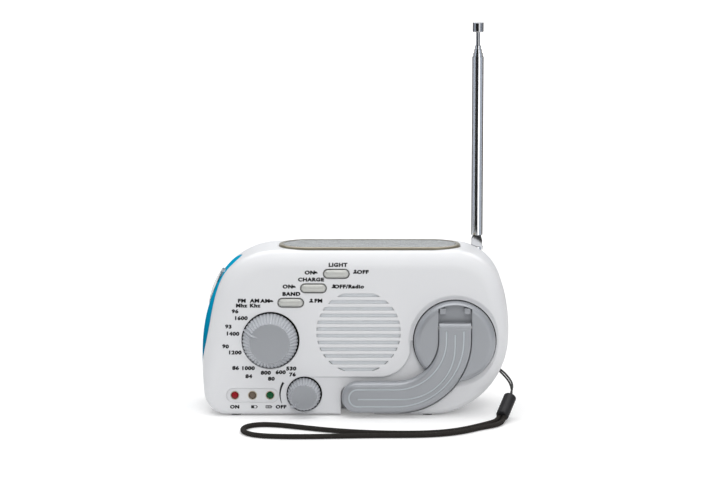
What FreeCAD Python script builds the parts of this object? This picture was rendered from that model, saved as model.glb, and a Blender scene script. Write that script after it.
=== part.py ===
"""Crank, solar and battery emergency radio with a torch in its left end.

Millimetres. X runs to the right, Y to the back, Z up, and the front face looks towards -Y.
The pieces are worked out with the housing's underside at Z = 0. write() then lifts them onto
the feet, so the origin of the part is on the table, under the middle of the radio.
"Height" of a thing on the front means how far it stands in front of the face.
"""
import FreeCAD, Part
import math
import os

V = FreeCAD.Vector

# Housing
BODY_W = 157.2
BODY_H = 84.2
BODY_D = 48.0
WALL = 2.2
REAR_SHELL_D = 8.8  # the rear shell's depth, from the joint line to the back
LIP = 3.0
LIP_WALL = 1.2
LIP_GAP = 0.15
FOOT_H = 0.8
FOOT_R = 2.6
FOOT_X = (-60.9, 37.2)
FOOT_INSET = 6.0  # the feet's centres from the front and the back
# Outline seen from the front: each side is two large arcs that meet at its widest height
LEFT = {"up_r": 82.0, "down_r": 150.0, "widest": 30.7, "up_deg": 24.0, "down_deg": 7.8}
RIGHT = {"up_r": 86.0, "down_r": 86.0, "widest": 42.7, "up_deg": 14.5, "down_deg": 3.9}
# Edge rounding at the five ends of each side's arcs, from the underside up to the top
FRONT_ROUND = {"left": (2.6, 6.0, 17.0, 13.0, 9.0), "right": (2.6, 9.0, 9.0, 9.0, 9.0)}
REAR_ROUND = {"left": (3.0, 6.0, 12.0, 17.0, 10.0), "right": (3.0, 7.0, 7.0, 7.0, 6.0)}

# Running and seating gaps
GAP = 0.3  # between a moving piece and its opening
FIT = 0.1  # between a seated piece and its seat
TURN = 0.06  # radial, between a shaft and its bearing

# Knobs: place as (x, height above the underside)
KNOB_H = 8.0
SHAFT_R = 3.0
KNOB_RECESS = 2.4
TUNING = {"at": (-43.3, 38.4), "recess_r": 14.75, "recess_off": 0.27, "foot_r": 14.2, "top_r": 10.2}
VOLUME = {"at": (-26.1, 10.6), "recess_r": 9.1, "recess_off": 0.2, "foot_r": 8.6, "top_r": 6.5}
KNOB_EDGE = 0.7
SEAT = 1.6  # wall behind a recess
KNOB_RIM = 1.4  # wall round a knob's recess
CAPACITOR_SIDE = 20.0
POT_R = 7.4
CONTROL_D = 6.6  # depth of the tuning capacitor and the volume control

# Push buttons, from the highest down to the left
BUTTON_NAMES = ("light", "charge", "band")
BUTTON_AT = (-9.5, 73.0)
BUTTON_STEP = (-11.6, -7.45)
BUTTON_L = 13.6  # opening
BUTTON_W = 5.1
BUTTON_GAP = 0.5
BUTTON_PROUD = 1.0
BUTTON_TRAVEL = 2.2
BUTTON_FLANGE = 0.8
STEM = 3.0
SWITCH_SIDE = 8.4
SWITCH_D = 5.4

# Indicator lamps
LAMP_NAMES = ("red", "clear", "green")
LAMP_AT = (-61.4, 10.05)
LAMP_PITCH = 9.0
LAMP_R = 1.9
LAMP_PROUD = 0.3
LAMP_L = 6.0
LAMP_RECESS = (26.6, 7.3, 0.8)

# Loudspeaker and its grille
GRILLE = (1.8, 42.8)
GRILLE_R = 21.35
GRILLE_WALL = 1.0  # the front's thickness over the loudspeaker
GRILLE_EDGE = 0.2  # the thin part's reach beyond the slots
SLOTS = 12
SLOT_PITCH = 3.49
SLOT_H = 1.7
SPEAKER_R = 21.0
CLOTH = 0.4
SPEAKER_FLANGE = 1.2
BASKET_D = 10.0
MAGNET_R = 12.5
MAGNET_D = 7.0
CLAMP_R = 1.6
CLAMP_DEG = (90.0, 200.0, 340.0)

# Crank: disc, folding arm and finger cup
CRANK = (50.8, 38.3)
DISC_R = 20.8
DISC_H = 5.0
DISC_EDGE = 3.6
DISC_WELL_R = 21.3
DISC_WELL = 2.6
DISH_R = 22.6
DISH = 0.8
DISH_SLOPE = 1.0  # how far the dish's sides lean out
SLOT_FLOOR_H = 0.2
POCKET_R = 19.2  # inner edge of the disc's rim above the hinge
HINGE_UP = 7.75  # hinge axis above the disc's centre
HINGE_H = 4.0
HINGE_PIN_R = 0.8
HINGE_PIN_END = 3.0  # grip of the pin in each cheek of the disc
BARREL_R = 2.5
ARM_W = 16.2
ARM_LOW = 9.9
ARM_BEND_R = CRANK[1] - ARM_LOW + 1.6
ARM_STEP = 0.15  # the arm's flat behind the hinge barrel's front
ARM_END_X = 1.3
ARM_SIDE_GAP = 0.45
ARM_ROUND = 3.2
ARM_EDGE = 0.8
GROOVE_W = 0.85
GROOVE_D = 0.35
GROOVE_OUT = 4.4
GROOVE_MID = {"bend_r": ARM_BEND_R - 3.3, "low": ARM_LOW - 0.6}
GROOVE_START = (1.3, 3.1)  # below the hinge: the outer pair, the middle one
PEG = 3.0
PEG_OUT = 6.3
PEG_UP = 8.35
PEG_H = 3.9
GRIP_R = 5.9
GRIP_SKIN = 1.3
GRIP_PROUD = 1.1
GRIP_DIMPLE_R = 4.4
GRIP_PIN_R = 1.5

# The lowered part of the face that the arm folds over, and the finger pocket behind its end
VALLEY = 2.0
VALLEY_TOP = 19.7
VALLEY_X = (-28.0, 14.0)  # where it starts, where it is full depth
VALLEY_SIDE = CRANK[0] - DISH_R + 0.15  # its upright side, just inside the ring's left edge
VALLEY_BEND_R = 16.0
FINGER_POCKET = {"w": 17.0, "d": 15.2, "top": 14.7, "round": 4.0}

# Gear train between the crank and the generator
PRESSURE_DEG = 25.0
BACKLASH = 0.12
COARSE = 0.6  # module of the first pair
FINE = 0.5  # module of the second pair
DRIVE_TEETH = 60
PINION_TEETH = 12
WHEEL_TEETH = 48
IDLER_DEG = 90.0  # direction from the crank's axis to the idler's
ROTOR_DEG = 198.7  # direction from the idler's axis to the rotor's
GEAR_W = 2.4
PLATE = 1.6
PLATE_SPACE = 16.8
POSTS = ((34.0, 21.3), (64.5, 21.3), (63.2, 70.0), (34.0, 72.7))
POST_R = 2.5
IDLER_R = 1.5
ROTOR_R = 1.0
MAGNET_RING_R = 9.0
STATOR_R = 12.5
STATOR_D = 12.0

# Main board and what it carries
BOARD_BACK = 12.0  # front face of the board behind the front face of the radio
BOARD = 1.6
BOARD_X = (-67.0, -46.0, 26.5)
BOARD_Z = (5.0, 44.0, 77.0)
BOARD_POSTS = ((-63.0, 37.0), (-42.5, 66.5), (19.0, 67.2), (20.0, 26.0))
BOARD_POST_R = 2.2
FERRITE_R = 4.0
FERRITE_L = 60.0
FERRITE_AT = (-14.0, 65.2)
FERRITE_BACK = 12.6  # the rod's axis behind the board's back

# Solar panel in the top
SOLAR_X = 7.5
SOLAR_L = 93.6
SOLAR_Y = (7.4, 37.4)  # from the front face
SOLAR_DEEP = 3.4
SOLAR_PROUD = 1.2
SOLAR_RIM = 2.2
CELLS = (82.0, 22.0, 1.2)
COVER = 1.2

# Torch in the left end; its axis leans up out of the end
TORCH = (7.3 - BODY_W / 2, BODY_H - 20.95)
TORCH_BACK = 23.0
TORCH_LEAN_DEG = 22.0
INSERT_HALF = 15.5
INSERT_UP = 19.7
INSERT_DOWN = 51.0
LENS_R = 9.8
LENS_PROUD = 1.1
LENS = 3.0
SLEEVE = 1.4
SLEEVE_D = 11.0
REFLECTOR_WALL = 0.8
REFLECTOR_BACK_R = 3.4
TORCH_LED_R = 2.5
TORCH_BOARD_R = 8.0

# Telescopic antenna on the right shoulder
ANTENNA_X = BODY_W / 2 - 15.0
ANTENNA_BACK = 4.6  # its axis from the back of the housing
PIVOT_Z = BODY_H - 0.2
TUBE_R = (3.0, 2.5, 2.0, 1.55, 1.05)
TUBE_WALL = 0.35
TUBE_FOOT = 2.8  # the outer tube's foot above the pivot
TUBE_L = 93.0
RING_STEP = 1.9
ROD_OUT = 7.0
CAP_R = 2.85
CAP_H = 5.1
NEST = 5.0  # a section's foot above the foot of the one around it
FORK_R = 2.7
TONGUE = 2.6
EAR = 1.1
STEM_R = 1.6
STEM_L = 8.0
CLIP_R = 2.4
CLIP = 0.8
GROOVE_CLEAR = 0.4
SOCKET_R = 4.6
SOCKET_TOP = BODY_H - 5.2

# Battery bay in the back
BAY_X = (-33.0, 20.5)
BAY_Z = (17.0, 55.0)
BAY_D = 13.2
BAY_WALL = 1.5
DOOR = 1.8
CELL_R = 5.25
CELL_L = 44.5

# Output jack, strap eyelet and screws
JACK_AT = (-55.0, 15.2)
JACK_BORE_R = 1.8
JACK_BORE = 11.0
JACK_SIDE = 8.0
EYELET = {"back": 31.0, "z": 19.0, "w": 8.4, "h": 6.4, "deep": 4.0, "bar_r": 1.0}
SCREWS = ((-71.0, 30.0), (-14.3, 7.7), (57.5, 12.7), (-36.0, 74.7), (18.0, 74.7), (70.2, 57.2))
SCREW_BOSS_R = 3.0
SCREW_R = 1.2
SCREW_HEAD_R = 2.4
SCREW_HEAD = 1.6

# Wrist strap, as it lies: (x, y, z) above the table
FERRULE = ((78.9, -24.0, 10.7), (74.3, -35.0, 3.2))
FERRULE_R = 3.25
STRING_D = 1.0
STRING_APART = 0.8  # each strand from the middle of the ferrule
STRING_OUT = 3.4  # straight part above the ferrule
STRING_PATH = (
    (80.9, -14.5, 15.2),
    (80.0, -6.5, 16.6),
    (77.6, 1.5, 18.3),
    (74.9, 7.0, 19.7),
    (72.4, 9.35, 20.3),
    (69.8, 9.6, 20.3),
    (69.75, 12.2, 20.1),
    (72.6, 12.75, 19.6),
    (75.4, 8.0, 17.9),
    (78.8, -0.5, 15.5),
    (80.3, -9.0, 13.8),
)
BRAID_D = 2.6
BRAID_APART = 1.4
BRAID_OUT = 2.86
BRAID_PATH = (
    (68.9, -40.6, 1.35),
    (63.5, -46.6, 1.35),
    (56.5, -54.0, 1.35),
    (47.0, -61.2, 1.35),
    (34.0, -65.1, 1.35),
    (18.0, -65.2, 1.35),
    (2.0, -62.9, 1.35),
    (-13.0, -58.3, 1.35),
    (-27.0, -51.6, 1.35),
    (-38.0, -46.3, 1.35),
    (-47.0, -44.6, 1.35),
    (-53.6, -48.2, 1.35),
    (-56.4, -56.0, 1.35),
    (-54.6, -64.3, 1.35),
    (-48.4, -70.3, 1.35),
    (-38.0, -72.6, 1.35),
    (-23.0, -72.9, 1.35),
    (-6.0, -71.4, 1.35),
    (11.0, -70.2, 1.35),
    (27.0, -70.1, 1.35),
    (41.0, -68.3, 1.35),
    (53.0, -62.4, 1.35),
    (62.5, -52.6, 1.35),
    (69.8, -47.2, 1.35),
    (73.2, -42.0, 1.35),
)

FRONT = -(BODY_D + KNOB_H) / 2 + KNOB_H
BACK = FRONT + BODY_D
INSIDE = FRONT + WALL
JOINT = BACK - REAR_SHELL_D
BOARD_Y = FRONT + BOARD_BACK
BOARD_REAR = BOARD_Y + BOARD


def cos(deg):
    return math.cos(math.radians(deg))


def sin(deg):
    return math.sin(math.radians(deg))


# ---------------------------------------------------------------- plain solids

def box(x, y, z):
    return Part.makeBox(x[1] - x[0], y[1] - y[0], z[1] - z[0], V(x[0], y[0], z[0]))


def rod_y(radius, at, y):
    """A cylinder along Y at at = (x, z), from y[0] to y[1]."""
    return Part.makeCylinder(radius, y[1] - y[0], V(at[0], y[0], at[1]), V(0, 1, 0))


def rod_z(radius, at, z):
    """A cylinder along Z at at = (x, y), from z[0] to z[1]."""
    return Part.makeCylinder(radius, z[1] - z[0], V(at[0], at[1], z[0]))


def rod_x(radius, at, x):
    """A cylinder along X at at = (y, z), from x[0] to x[1]."""
    return Part.makeCylinder(radius, x[1] - x[0], V(x[0], at[0], at[1]), V(1, 0, 0))


def taper_y(r, at, y):
    """A cone along Y: radius r[0] at y[0] and r[1] at y[1]."""
    return Part.makeCone(r[0], r[1], y[1] - y[0], V(at[0], y[0], at[1]), V(0, 1, 0))


def front(height):
    """The Y of a thing that stands height in front of the face."""
    return FRONT - height


def prism(wire, y):
    """The area inside a wire in the XZ plane, from y[0] to y[1]."""
    face = Part.Face(wire)
    face.translate(V(0, y[0], 0))
    return face.extrude(V(0, y[1] - y[0], 0))


def line(a, b):
    return Part.makeLine(V(a[0], 0, a[1]), V(b[0], 0, b[1]))


def arc(centre, radius, start, end):
    """An arc in the XZ plane, by its angles from +X towards +Z."""
    spots = [
        V(centre[0] + radius * cos(a), 0, centre[1] + radius * sin(a))
        for a in (start, (start + end) / 2, end)
    ]
    return Part.Arc(*spots).toShape()


def slot_y(at, length, width, y):
    """A bar with round ends, lying along X and running from y[0] to y[1]."""
    r = width / 2
    x, z = at
    half = length / 2 - r
    wire = Part.Wire([
        line((x - half, z - r), (x + half, z - r)),
        arc((x + half, z), r, -90, 90),
        line((x + half, z + r), (x - half, z + r)),
        arc((x - half, z), r, 90, 270),
    ])
    return prism(wire, y)


def slot_z(x, y, length, width, z):
    """The same bar standing along Z."""
    bar = slot_y((0, 0), length, width, (z[0], z[1]))
    bar.rotate(V(0, 0, 0), V(1, 0, 0), 90)
    bar.translate(V(x, y, 0))
    return bar


def turned(profile, at, y_of):
    """A solid of revolution about a Y axis at at; profile gives (radius, height) corners."""
    spots = [V(at[0] + r, y_of(h), at[1]) for r, h in profile]
    face = Part.Face(Part.makePolygon(spots + [spots[0]]))
    return face.revolve(V(at[0], 0, at[1]), V(0, 1, 0), 360)


def rounded(solid, radii):
    """Fillets with a radius at each end of each edge: radii is [(edge number, r, r)]."""
    document = FreeCAD.newDocument()
    base = document.addObject("Part::Feature", "base")
    base.Shape = solid
    fillet = document.addObject("Part::Fillet", "fillet")
    fillet.Base = base
    fillet.Edges = radii
    document.recompute()
    result = fillet.Shape.copy()
    FreeCAD.closeDocument(document.Name)
    return result.Solids[0]


def join(solid, more):
    return solid.fuse(list(more)).removeSplitter()


# ---------------------------------------------------------------- housing

def side_arcs(sign, side):
    """The arcs of one side of the outline.

    The corner arcs follow from the side: each touches the side's arc and the top or the underside.
    """
    half = BODY_W / 2
    widest = side["widest"]
    up = sin(side["up_deg"])
    down = sin(side["down_deg"])
    corner_up = (BODY_H - widest - side["up_r"] * up) / (1 - up)
    corner_down = (widest - side["down_r"] * down) / (1 - down)
    up_x = sign * (half - side["up_r"])
    down_x = sign * (half - side["down_r"])
    reach_up = side["up_r"] - corner_up
    reach_down = side["down_r"] - corner_down
    return {
        "up": (up_x, widest),
        "down": (down_x, widest),
        "corner_up": (up_x + sign * reach_up * cos(side["up_deg"]), widest + reach_up * up),
        "corner_down": (down_x + sign * reach_down * cos(side["down_deg"]), widest - reach_down * down),
        "corner_up_r": corner_up,
        "corner_down_r": corner_down,
    }


def arc_ends(sign, side, inset):
    """The heights where one side's arcs meet, from the underside up to the top."""
    a = side_arcs(sign, side)
    low = a["corner_down"][1] - (a["corner_down_r"] - inset) * sin(side["down_deg"])
    high = a["corner_up"][1] + (a["corner_up_r"] - inset) * sin(side["up_deg"])
    return (inset, low, side["widest"], high, BODY_H - inset)


def outline(inset):
    """The housing's outline in the XZ plane, moved inwards by inset."""
    a = side_arcs(-1, LEFT)
    b = side_arcs(1, RIGHT)
    low = inset
    high = BODY_H - inset
    return Part.Wire([
        line((a["corner_down"][0], low), (b["corner_down"][0], low)),
        arc(b["corner_down"], b["corner_down_r"] - inset, 270, 360 - RIGHT["down_deg"]),
        arc(b["down"], RIGHT["down_r"] - inset, -RIGHT["down_deg"], 0),
        arc(b["up"], RIGHT["up_r"] - inset, 0, RIGHT["up_deg"]),
        arc(b["corner_up"], b["corner_up_r"] - inset, RIGHT["up_deg"], 90),
        line((b["corner_up"][0], high), (a["corner_up"][0], high)),
        arc(a["corner_up"], a["corner_up_r"] - inset, 90, 180 - LEFT["up_deg"]),
        arc(a["up"], LEFT["up_r"] - inset, 180 - LEFT["up_deg"], 180),
        arc(a["down"], LEFT["down_r"] - inset, 180, 180 + LEFT["down_deg"]),
        arc(a["corner_down"], a["corner_down_r"] - inset, 180 + LEFT["down_deg"], 270),
    ])


def body(inset):
    """The housing's form, moved inwards by inset on every side."""
    near = FRONT + inset
    far = BACK - inset
    block = prism(outline(inset), (near, far))
    slack = 1e-4
    least = 0.4
    heights = {"left": arc_ends(-1, LEFT, inset), "right": arc_ends(1, RIGHT, inset)}

    def radius(spot, table):
        side = "left" if spot.x < 0 else "right"
        nearest = min(range(len(heights[side])), key=lambda n: abs(heights[side][n] - spot.z))
        return max(table[side][nearest] - inset, least)

    radii = []
    for number, edge in enumerate(block.Edges, 1):
        start, end = (v.Point for v in (edge.Vertexes[0], edge.Vertexes[-1]))
        if abs(start.y - end.y) > slack:
            continue
        table = FRONT_ROUND if abs(start.y - near) < slack else REAR_ROUND
        first = edge.valueAt(edge.FirstParameter)
        last = edge.valueAt(edge.LastParameter)
        radii.append((number, radius(first, table), radius(last, table)))
    return rounded(block, radii)


OUTSIDE = body(0.0)
CAVITY = body(WALL)
FAR = 200.0
FRONT_HALF = box((-FAR, FAR), (-FAR, JOINT), (-FAR, FAR))
REAR_HALF = box((-FAR, FAR), (JOINT, FAR), (-FAR, FAR))


def strip(half, bend_r, low, end_x, top):
    """The crank arm's plan: straight down from the hinge, round a bend, then left to a round end."""
    x = CRANK[0]
    bend = (x - bend_r, low + bend_r)
    return Part.Wire([
        line((x - half, top), (x - half, bend[1])),
        arc(bend, bend_r - half, 0, -90),
        line((bend[0], low + half), (end_x, low + half)),
        arc((end_x, low), half, 90, 270),
        line((end_x, low - half), (bend[0], low - half)),
        arc(bend, bend_r + half, -90, 0),
        line((x + half, bend[1]), (x + half, top)),
        line((x + half, top), (x - half, top)),
    ])


HINGE_Z = CRANK[1] + HINGE_UP


def valley_wire():
    """The lowered part of the face under the arm, from its left start to the crank's dish."""
    left = VALLEY_X[0]
    low = -WALL
    top = VALLEY_TOP
    r = VALLEY_BEND_R
    clear = ARM_W / 2 + 1.4
    bend = (CRANK[0] - ARM_BEND_R, ARM_LOW + ARM_BEND_R)
    return Part.Wire([
        line((left, low), (left, top)),
        line((left, top), (VALLEY_SIDE - r, top)),
        arc((VALLEY_SIDE - r, top + r), r, -90, 0),
        line((VALLEY_SIDE, top + r), (VALLEY_SIDE, CRANK[1])),
        line((VALLEY_SIDE, CRANK[1]), CRANK),
        line(CRANK, (bend[0] + ARM_BEND_R + clear, bend[1])),
        arc(bend, ARM_BEND_R + clear, 0, -88),
        line((bend[0] + (ARM_BEND_R + clear) * cos(-88), bend[1] + (ARM_BEND_R + clear) * sin(-88)),
             (bend[0], low)),
        line((bend[0], low), (left, low)),
    ])


def valley(extra, deeper):
    """The valley's cutter, or with extra and deeper the wall that backs it."""
    start, full = VALLEY_X
    face = Part.Face(valley_wire())
    if extra:
        face = face.makeOffset2D(extra)
    face.translate(V(0, front(3.0), 0))
    floor = FRONT + VALLEY + deeper
    area = face.extrude(V(0, floor - front(3.0), 0))
    ramp = Part.makePolygon([
        V(start - extra - 1, front(4), -FAR),
        V(start - extra - 1, FRONT + deeper, -FAR),
        V(start, FRONT + deeper, -FAR),
        V(full, floor, -FAR),
        V(FAR, floor, -FAR),
        V(FAR, front(4), -FAR),
        V(start - extra - 1, front(4), -FAR),
    ])
    return area.common(Part.Face(ramp).extrude(V(0, 0, 2 * FAR)))


def finger_pocket(extra):
    """The pocket behind the arm's end, open at the front and below; extra is its wall."""
    half = FINGER_POCKET["w"] / 2 + extra
    top = FINGER_POCKET["top"] + extra
    r = FINGER_POCKET["round"] + extra
    x = ARM_END_X
    low = -2 * WALL
    wire = Part.Wire([
        line((x - half, low), (x - half, top - r)),
        arc((x - half + r, top - r), r, 180, 90),
        line((x - half + r, top), (x + half - r, top)),
        arc((x + half - r, top - r), r, 90, 0),
        line((x + half, top - r), (x + half, low)),
        line((x + half, low), (x - half, low)),
    ])
    return prism(wire, (front(2.0), FRONT + FINGER_POCKET["d"] + extra))


def button_spots():
    return [
        (BUTTON_AT[0] + n * BUTTON_STEP[0], BUTTON_AT[1] + n * BUTTON_STEP[1])
        for n in range(len(BUTTON_NAMES))
    ]


def lamp_spots():
    return [(LAMP_AT[0] + n * LAMP_PITCH, LAMP_AT[1]) for n in range(len(LAMP_NAMES))]


def recess_at(knob):
    """The middle of a knob's recess, a little up and to the right of its shaft."""
    off = knob["recess_off"]
    return (knob["at"][0] + off, knob["at"][1] + off)


def clamp_spots():
    reach = SPEAKER_R + CLAMP_R + 0.6
    return [(GRILLE[0] + reach * cos(a), GRILLE[1] + reach * sin(a)) for a in CLAMP_DEG]


def solar_block(extra, z):
    """The solar window's stadium, grown by extra."""
    width = SOLAR_Y[1] - SOLAR_Y[0]
    y = FRONT + (SOLAR_Y[0] + SOLAR_Y[1]) / 2
    return slot_z(SOLAR_X, y, SOLAR_L + 2 * extra, width + 2 * extra, z)


def eyelet_box(extra):
    y = FRONT + EYELET["back"]
    z = EYELET["z"]
    half_w = EYELET["w"] / 2 + extra
    half_h = EYELET["h"] / 2 + extra
    return box((eyelet_x() - extra, BODY_W), (y - half_w, y + half_w), (z - half_h, z + half_h))


def eyelet_x():
    """The eyelet pocket's floor, measured in from the housing's right side at that height."""
    b = side_arcs(1, RIGHT)
    centre = b["corner_down"]
    drop = centre[1] - EYELET["z"]
    surface = centre[0] + math.sqrt(b["corner_down_r"] ** 2 - drop ** 2)
    return surface - EYELET["deep"]


# ---------------------------------------------------------------- torch frame

AXIS = V(-cos(TORCH_LEAN_DEG), 0, sin(TORCH_LEAN_DEG))
TORCH_AT = V(TORCH[0], FRONT + TORCH_BACK, TORCH[1])


def along_torch(radius, start, end):
    """A cylinder on the torch's axis, from start to end outwards of the surface."""
    return Part.makeCylinder(radius, end - start, TORCH_AT + AXIS * start, AXIS)


def torch_cone(r, start, end):
    return Part.makeCone(r[0], r[1], end - start, TORCH_AT + AXIS * start, AXIS)


def insert_prism(shrink):
    """The coloured insert's leaf shape, through the housing's end: two half ellipses."""
    half = INSERT_HALF - shrink
    edges = []
    for reach, first in ((INSERT_UP - shrink, True), (INSERT_DOWN - shrink, False)):
        if reach > half:
            ellipse = Part.Ellipse(V(0, 0, 0), reach, half)
        spots = (-90, 90) if first else (90, 270)
        curve = Part.ArcOfEllipse(ellipse, math.radians(spots[0]), math.radians(spots[1]))
        edges.append(curve.toShape())
    face = Part.Face(Part.Wire(edges))
    up = V(sin(TORCH_LEAN_DEG), 0, cos(TORCH_LEAN_DEG))
    out = AXIS
    side = out.cross(up)
    turn = FreeCAD.Matrix(
        up.x, side.x, out.x, TORCH_AT.x,
        up.y, side.y, out.y, TORCH_AT.y,
        up.z, side.z, out.z, TORCH_AT.z,
        0, 0, 0, 1,
    )
    deep = 14.0
    block = face.extrude(V(0, 0, 2.5 * deep))
    block.translate(V(0, 0, -deep))
    block.transformShape(turn)
    return block


# ---------------------------------------------------------------- shells

def front_shell():
    shell = OUTSIDE.cut(CAVITY).common(FRONT_HALF)
    recess_y = (FRONT, FRONT + KNOB_RECESS + SEAT)
    seats = [
        rod_y(TUNING["recess_r"] + KNOB_RIM, recess_at(TUNING), recess_y),
        rod_y(VOLUME["recess_r"] + KNOB_RIM, recess_at(VOLUME), recess_y),
        rod_y(DISH_R + SEAT, CRANK, (FRONT, FRONT + DISC_WELL + SEAT)),
        valley(1.2, SEAT),
        finger_pocket(SEAT),
        solar_block(SEAT, (BODY_H - SOLAR_DEEP - SEAT, BODY_H + 1)),
        eyelet_box(SEAT),
    ]
    posts = [rod_y(BOARD_POST_R, at, (INSIDE - 0.5, BOARD_Y)) for at in BOARD_POSTS]
    posts += [rod_y(SCREW_BOSS_R, at, (INSIDE - 0.5, JOINT)) for at in SCREWS]
    posts += [rod_y(CLAMP_R, at, (INSIDE - 0.5, speaker_y(SPEAKER_FLANGE))) for at in clamp_spots()]
    pads = [rod_y(POST_R, at, (INSIDE - 0.5, plate_y())) for at in POSTS]
    shell = shell.fuse([s.common(OUTSIDE) for s in seats + posts + pads])

    through = (front(1.0), INSIDE + SEAT + KNOB_RECESS)
    cuts = [
        rod_y(TUNING["recess_r"], recess_at(TUNING), (front(1.0), FRONT + KNOB_RECESS)),
        rod_y(VOLUME["recess_r"], recess_at(VOLUME), (front(1.0), FRONT + KNOB_RECESS)),
        rod_y(SHAFT_R + GAP, TUNING["at"], through),
        rod_y(SHAFT_R + GAP, VOLUME["at"], through),
        taper_y((DISH_R + DISH_SLOPE, DISH_R - DISH_SLOPE / 2), CRANK, (FRONT - 0.01, FRONT + DISH)),
        rod_y(DISC_WELL_R, CRANK, (front(1.0), FRONT + DISC_WELL)),
        rod_y(SHAFT_R + GAP, CRANK, (front(1.0), FRONT + DISC_WELL + SEAT + 1)),
        valley(0.0, 0.0),
        finger_pocket(0.0),
        solar_block(0.0, (BODY_H - SOLAR_DEEP, BODY_H + 1)),
    ]
    middle = lamp_spots()[1]
    cuts.append(slot_y((middle[0], middle[1]), LAMP_RECESS[0], LAMP_RECESS[1],
                       (front(1.0), FRONT + LAMP_RECESS[2])))
    cuts += [rod_y(LAMP_R + FIT, at, (front(1.0), INSIDE + 1)) for at in lamp_spots()]
    cuts += [slot_y(at, BUTTON_L, BUTTON_W, (front(1.0), INSIDE + 1)) for at in button_spots()]
    cuts += [rod_y(SCREW_R, at, (JOINT - 8.0, JOINT + 1)) for at in SCREWS]
    cuts += [rod_y(SCREW_R, at, (BOARD_Y - 4.0, BOARD_Y + 1)) for at in BOARD_POSTS]
    shell = shell.cut(cuts)

    disc = rod_y(GRILLE_R, GRILLE, (front(1.0), INSIDE + 1))
    lowest = GRILLE[1] - SLOT_PITCH * (SLOTS - 1) / 2
    slots = []
    for n in range(SLOTS):
        z = lowest + n * SLOT_PITCH
        slots.append(box((-FAR, FAR), (front(1.0), INSIDE + 1), (z - SLOT_H / 2, z + SLOT_H / 2)))
    thin = rod_y(GRILLE_R + GRILLE_EDGE, GRILLE, (FRONT + GRILLE_WALL, INSIDE + 1))
    shell = shell.cut([s.common(disc) for s in slots] + [thin])

    shell = shell.cut([insert_prism(0.0).common(OUTSIDE.cut(CAVITY)), eyelet_box(0.0)])
    bar_y = FRONT + EYELET["back"]
    bar_x = eyelet_x() + EYELET["deep"] - EYELET["bar_r"] - 0.2
    reach = EYELET["h"] / 2 + 0.5
    bar = rod_z(EYELET["bar_r"], (bar_x, bar_y), (EYELET["z"] - reach, EYELET["z"] + reach))
    return join(shell, [bar])


def rear_shell():
    shell = OUTSIDE.cut(CAVITY).common(REAR_HALF)
    rim = body(WALL + LIP_GAP).cut(body(WALL + LIP_GAP + LIP_WALL))
    rim = rim.common(box((-FAR, FAR), (JOINT - LIP, JOINT + 1), (-FAR, FAR)))
    eyelet = eyelet_box(SEAT + LIP_GAP)
    rim = rim.cut([solar_block(SEAT + LIP_GAP, (BODY_H / 2, BODY_H + 1)), eyelet])
    rim = rim.cut([insert_prism(-SLEEVE)] + [rod_y(SCREW_BOSS_R + LIP_GAP, at, (0, JOINT)) for at in SCREWS])
    # a ledge ties the rim to the rear shell's wall
    tie = CAVITY.cut(body(WALL + LIP_GAP + LIP_WALL))
    tie = tie.common(box((-FAR, FAR), (JOINT, JOINT + 1.5), (-FAR, FAR)))
    tube = rod_x(TUBE_R[0] + GROOVE_CLEAR + SEAT, (antenna_y(), PIVOT_Z), (groove_left() - SEAT, BODY_W))
    socket = rod_z(SOCKET_R, (ANTENNA_X, antenna_y()), (SOCKET_TOP - STEM_L + 1.2, SOCKET_TOP))
    bay = bay_box(BAY_WALL)
    posts = [rod_y(SCREW_BOSS_R, at, (JOINT, BACK - WALL + 0.5)) for at in SCREWS]
    jack = box_around(JACK_AT, JACK_SIDE / 2 + SEAT, (BACK - WALL - 2.0, BACK - WALL + 0.5))
    more = [s.common(OUTSIDE).common(REAR_HALF) for s in [tie, tube, socket, jack] + posts]
    more.append(bay.common(OUTSIDE))
    shell = shell.fuse(more + [rim])

    cuts = [
        rod_x(TUBE_R[0] + GROOVE_CLEAR, (antenna_y(), PIVOT_Z), (groove_left(), BODY_W)),
        box((groove_left(), BODY_W), (antenna_y() - TUBE_R[0] - GROOVE_CLEAR, antenna_y() + TUBE_R[0] + GROOVE_CLEAR),
            (PIVOT_Z, PIVOT_Z + 10)),
        rod_z(SOCKET_R + GAP, (ANTENNA_X, antenna_y()), (SOCKET_TOP, PIVOT_Z + 10)),
        rod_z(STEM_R + TURN, (ANTENNA_X, antenna_y()), (SOCKET_TOP - STEM_L, SOCKET_TOP + 1)),
        bay_box(0.0),
        door_box(FIT + 0.2, (BACK - DOOR - 0.2, BACK + 1)),
        box_around(JACK_AT, JACK_SIDE / 2 + FIT, (BACK - WALL - 3.0, BACK - WALL)),
        rod_y(JACK_BORE_R + 1.4, JACK_AT, (BACK - WALL - 1, BACK + 1)),
    ]
    cuts += [rod_y(SCREW_R + GAP, at, (JOINT - 1, BACK + 1)) for at in SCREWS]
    cuts += [rod_y(SCREW_HEAD_R + GAP, at, (BACK - 4.0, BACK + 1)) for at in SCREWS]
    return shell.cut(cuts).removeSplitter()


def box_around(at, half, y):
    return box((at[0] - half, at[0] + half), y, (at[1] - half, at[1] + half))


def antenna_y():
    return BACK - ANTENNA_BACK


def groove_left():
    """The left end of the groove that the folded antenna lies in."""
    reach = TUBE_FOOT + TUBE_L + 3 * RING_STEP + ROD_OUT + CAP_H
    return ANTENNA_X - reach - 1.5


def bay_box(extra):
    """The battery bay; extra is its wall."""
    floor = BACK - DOOR - 0.2 - BAY_D
    return box(
        (BAY_X[0] - extra, BAY_X[1] + extra),
        (floor - extra, BACK - WALL if extra else BACK),
        (BAY_Z[0] - extra, BAY_Z[1] + extra),
    )


def door_box(extra, y):
    lap = 1.6
    return box(
        (BAY_X[0] - lap - extra, BAY_X[1] + lap + extra), y,
        (BAY_Z[0] - lap - extra, BAY_Z[1] + lap + extra),
    )


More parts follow.
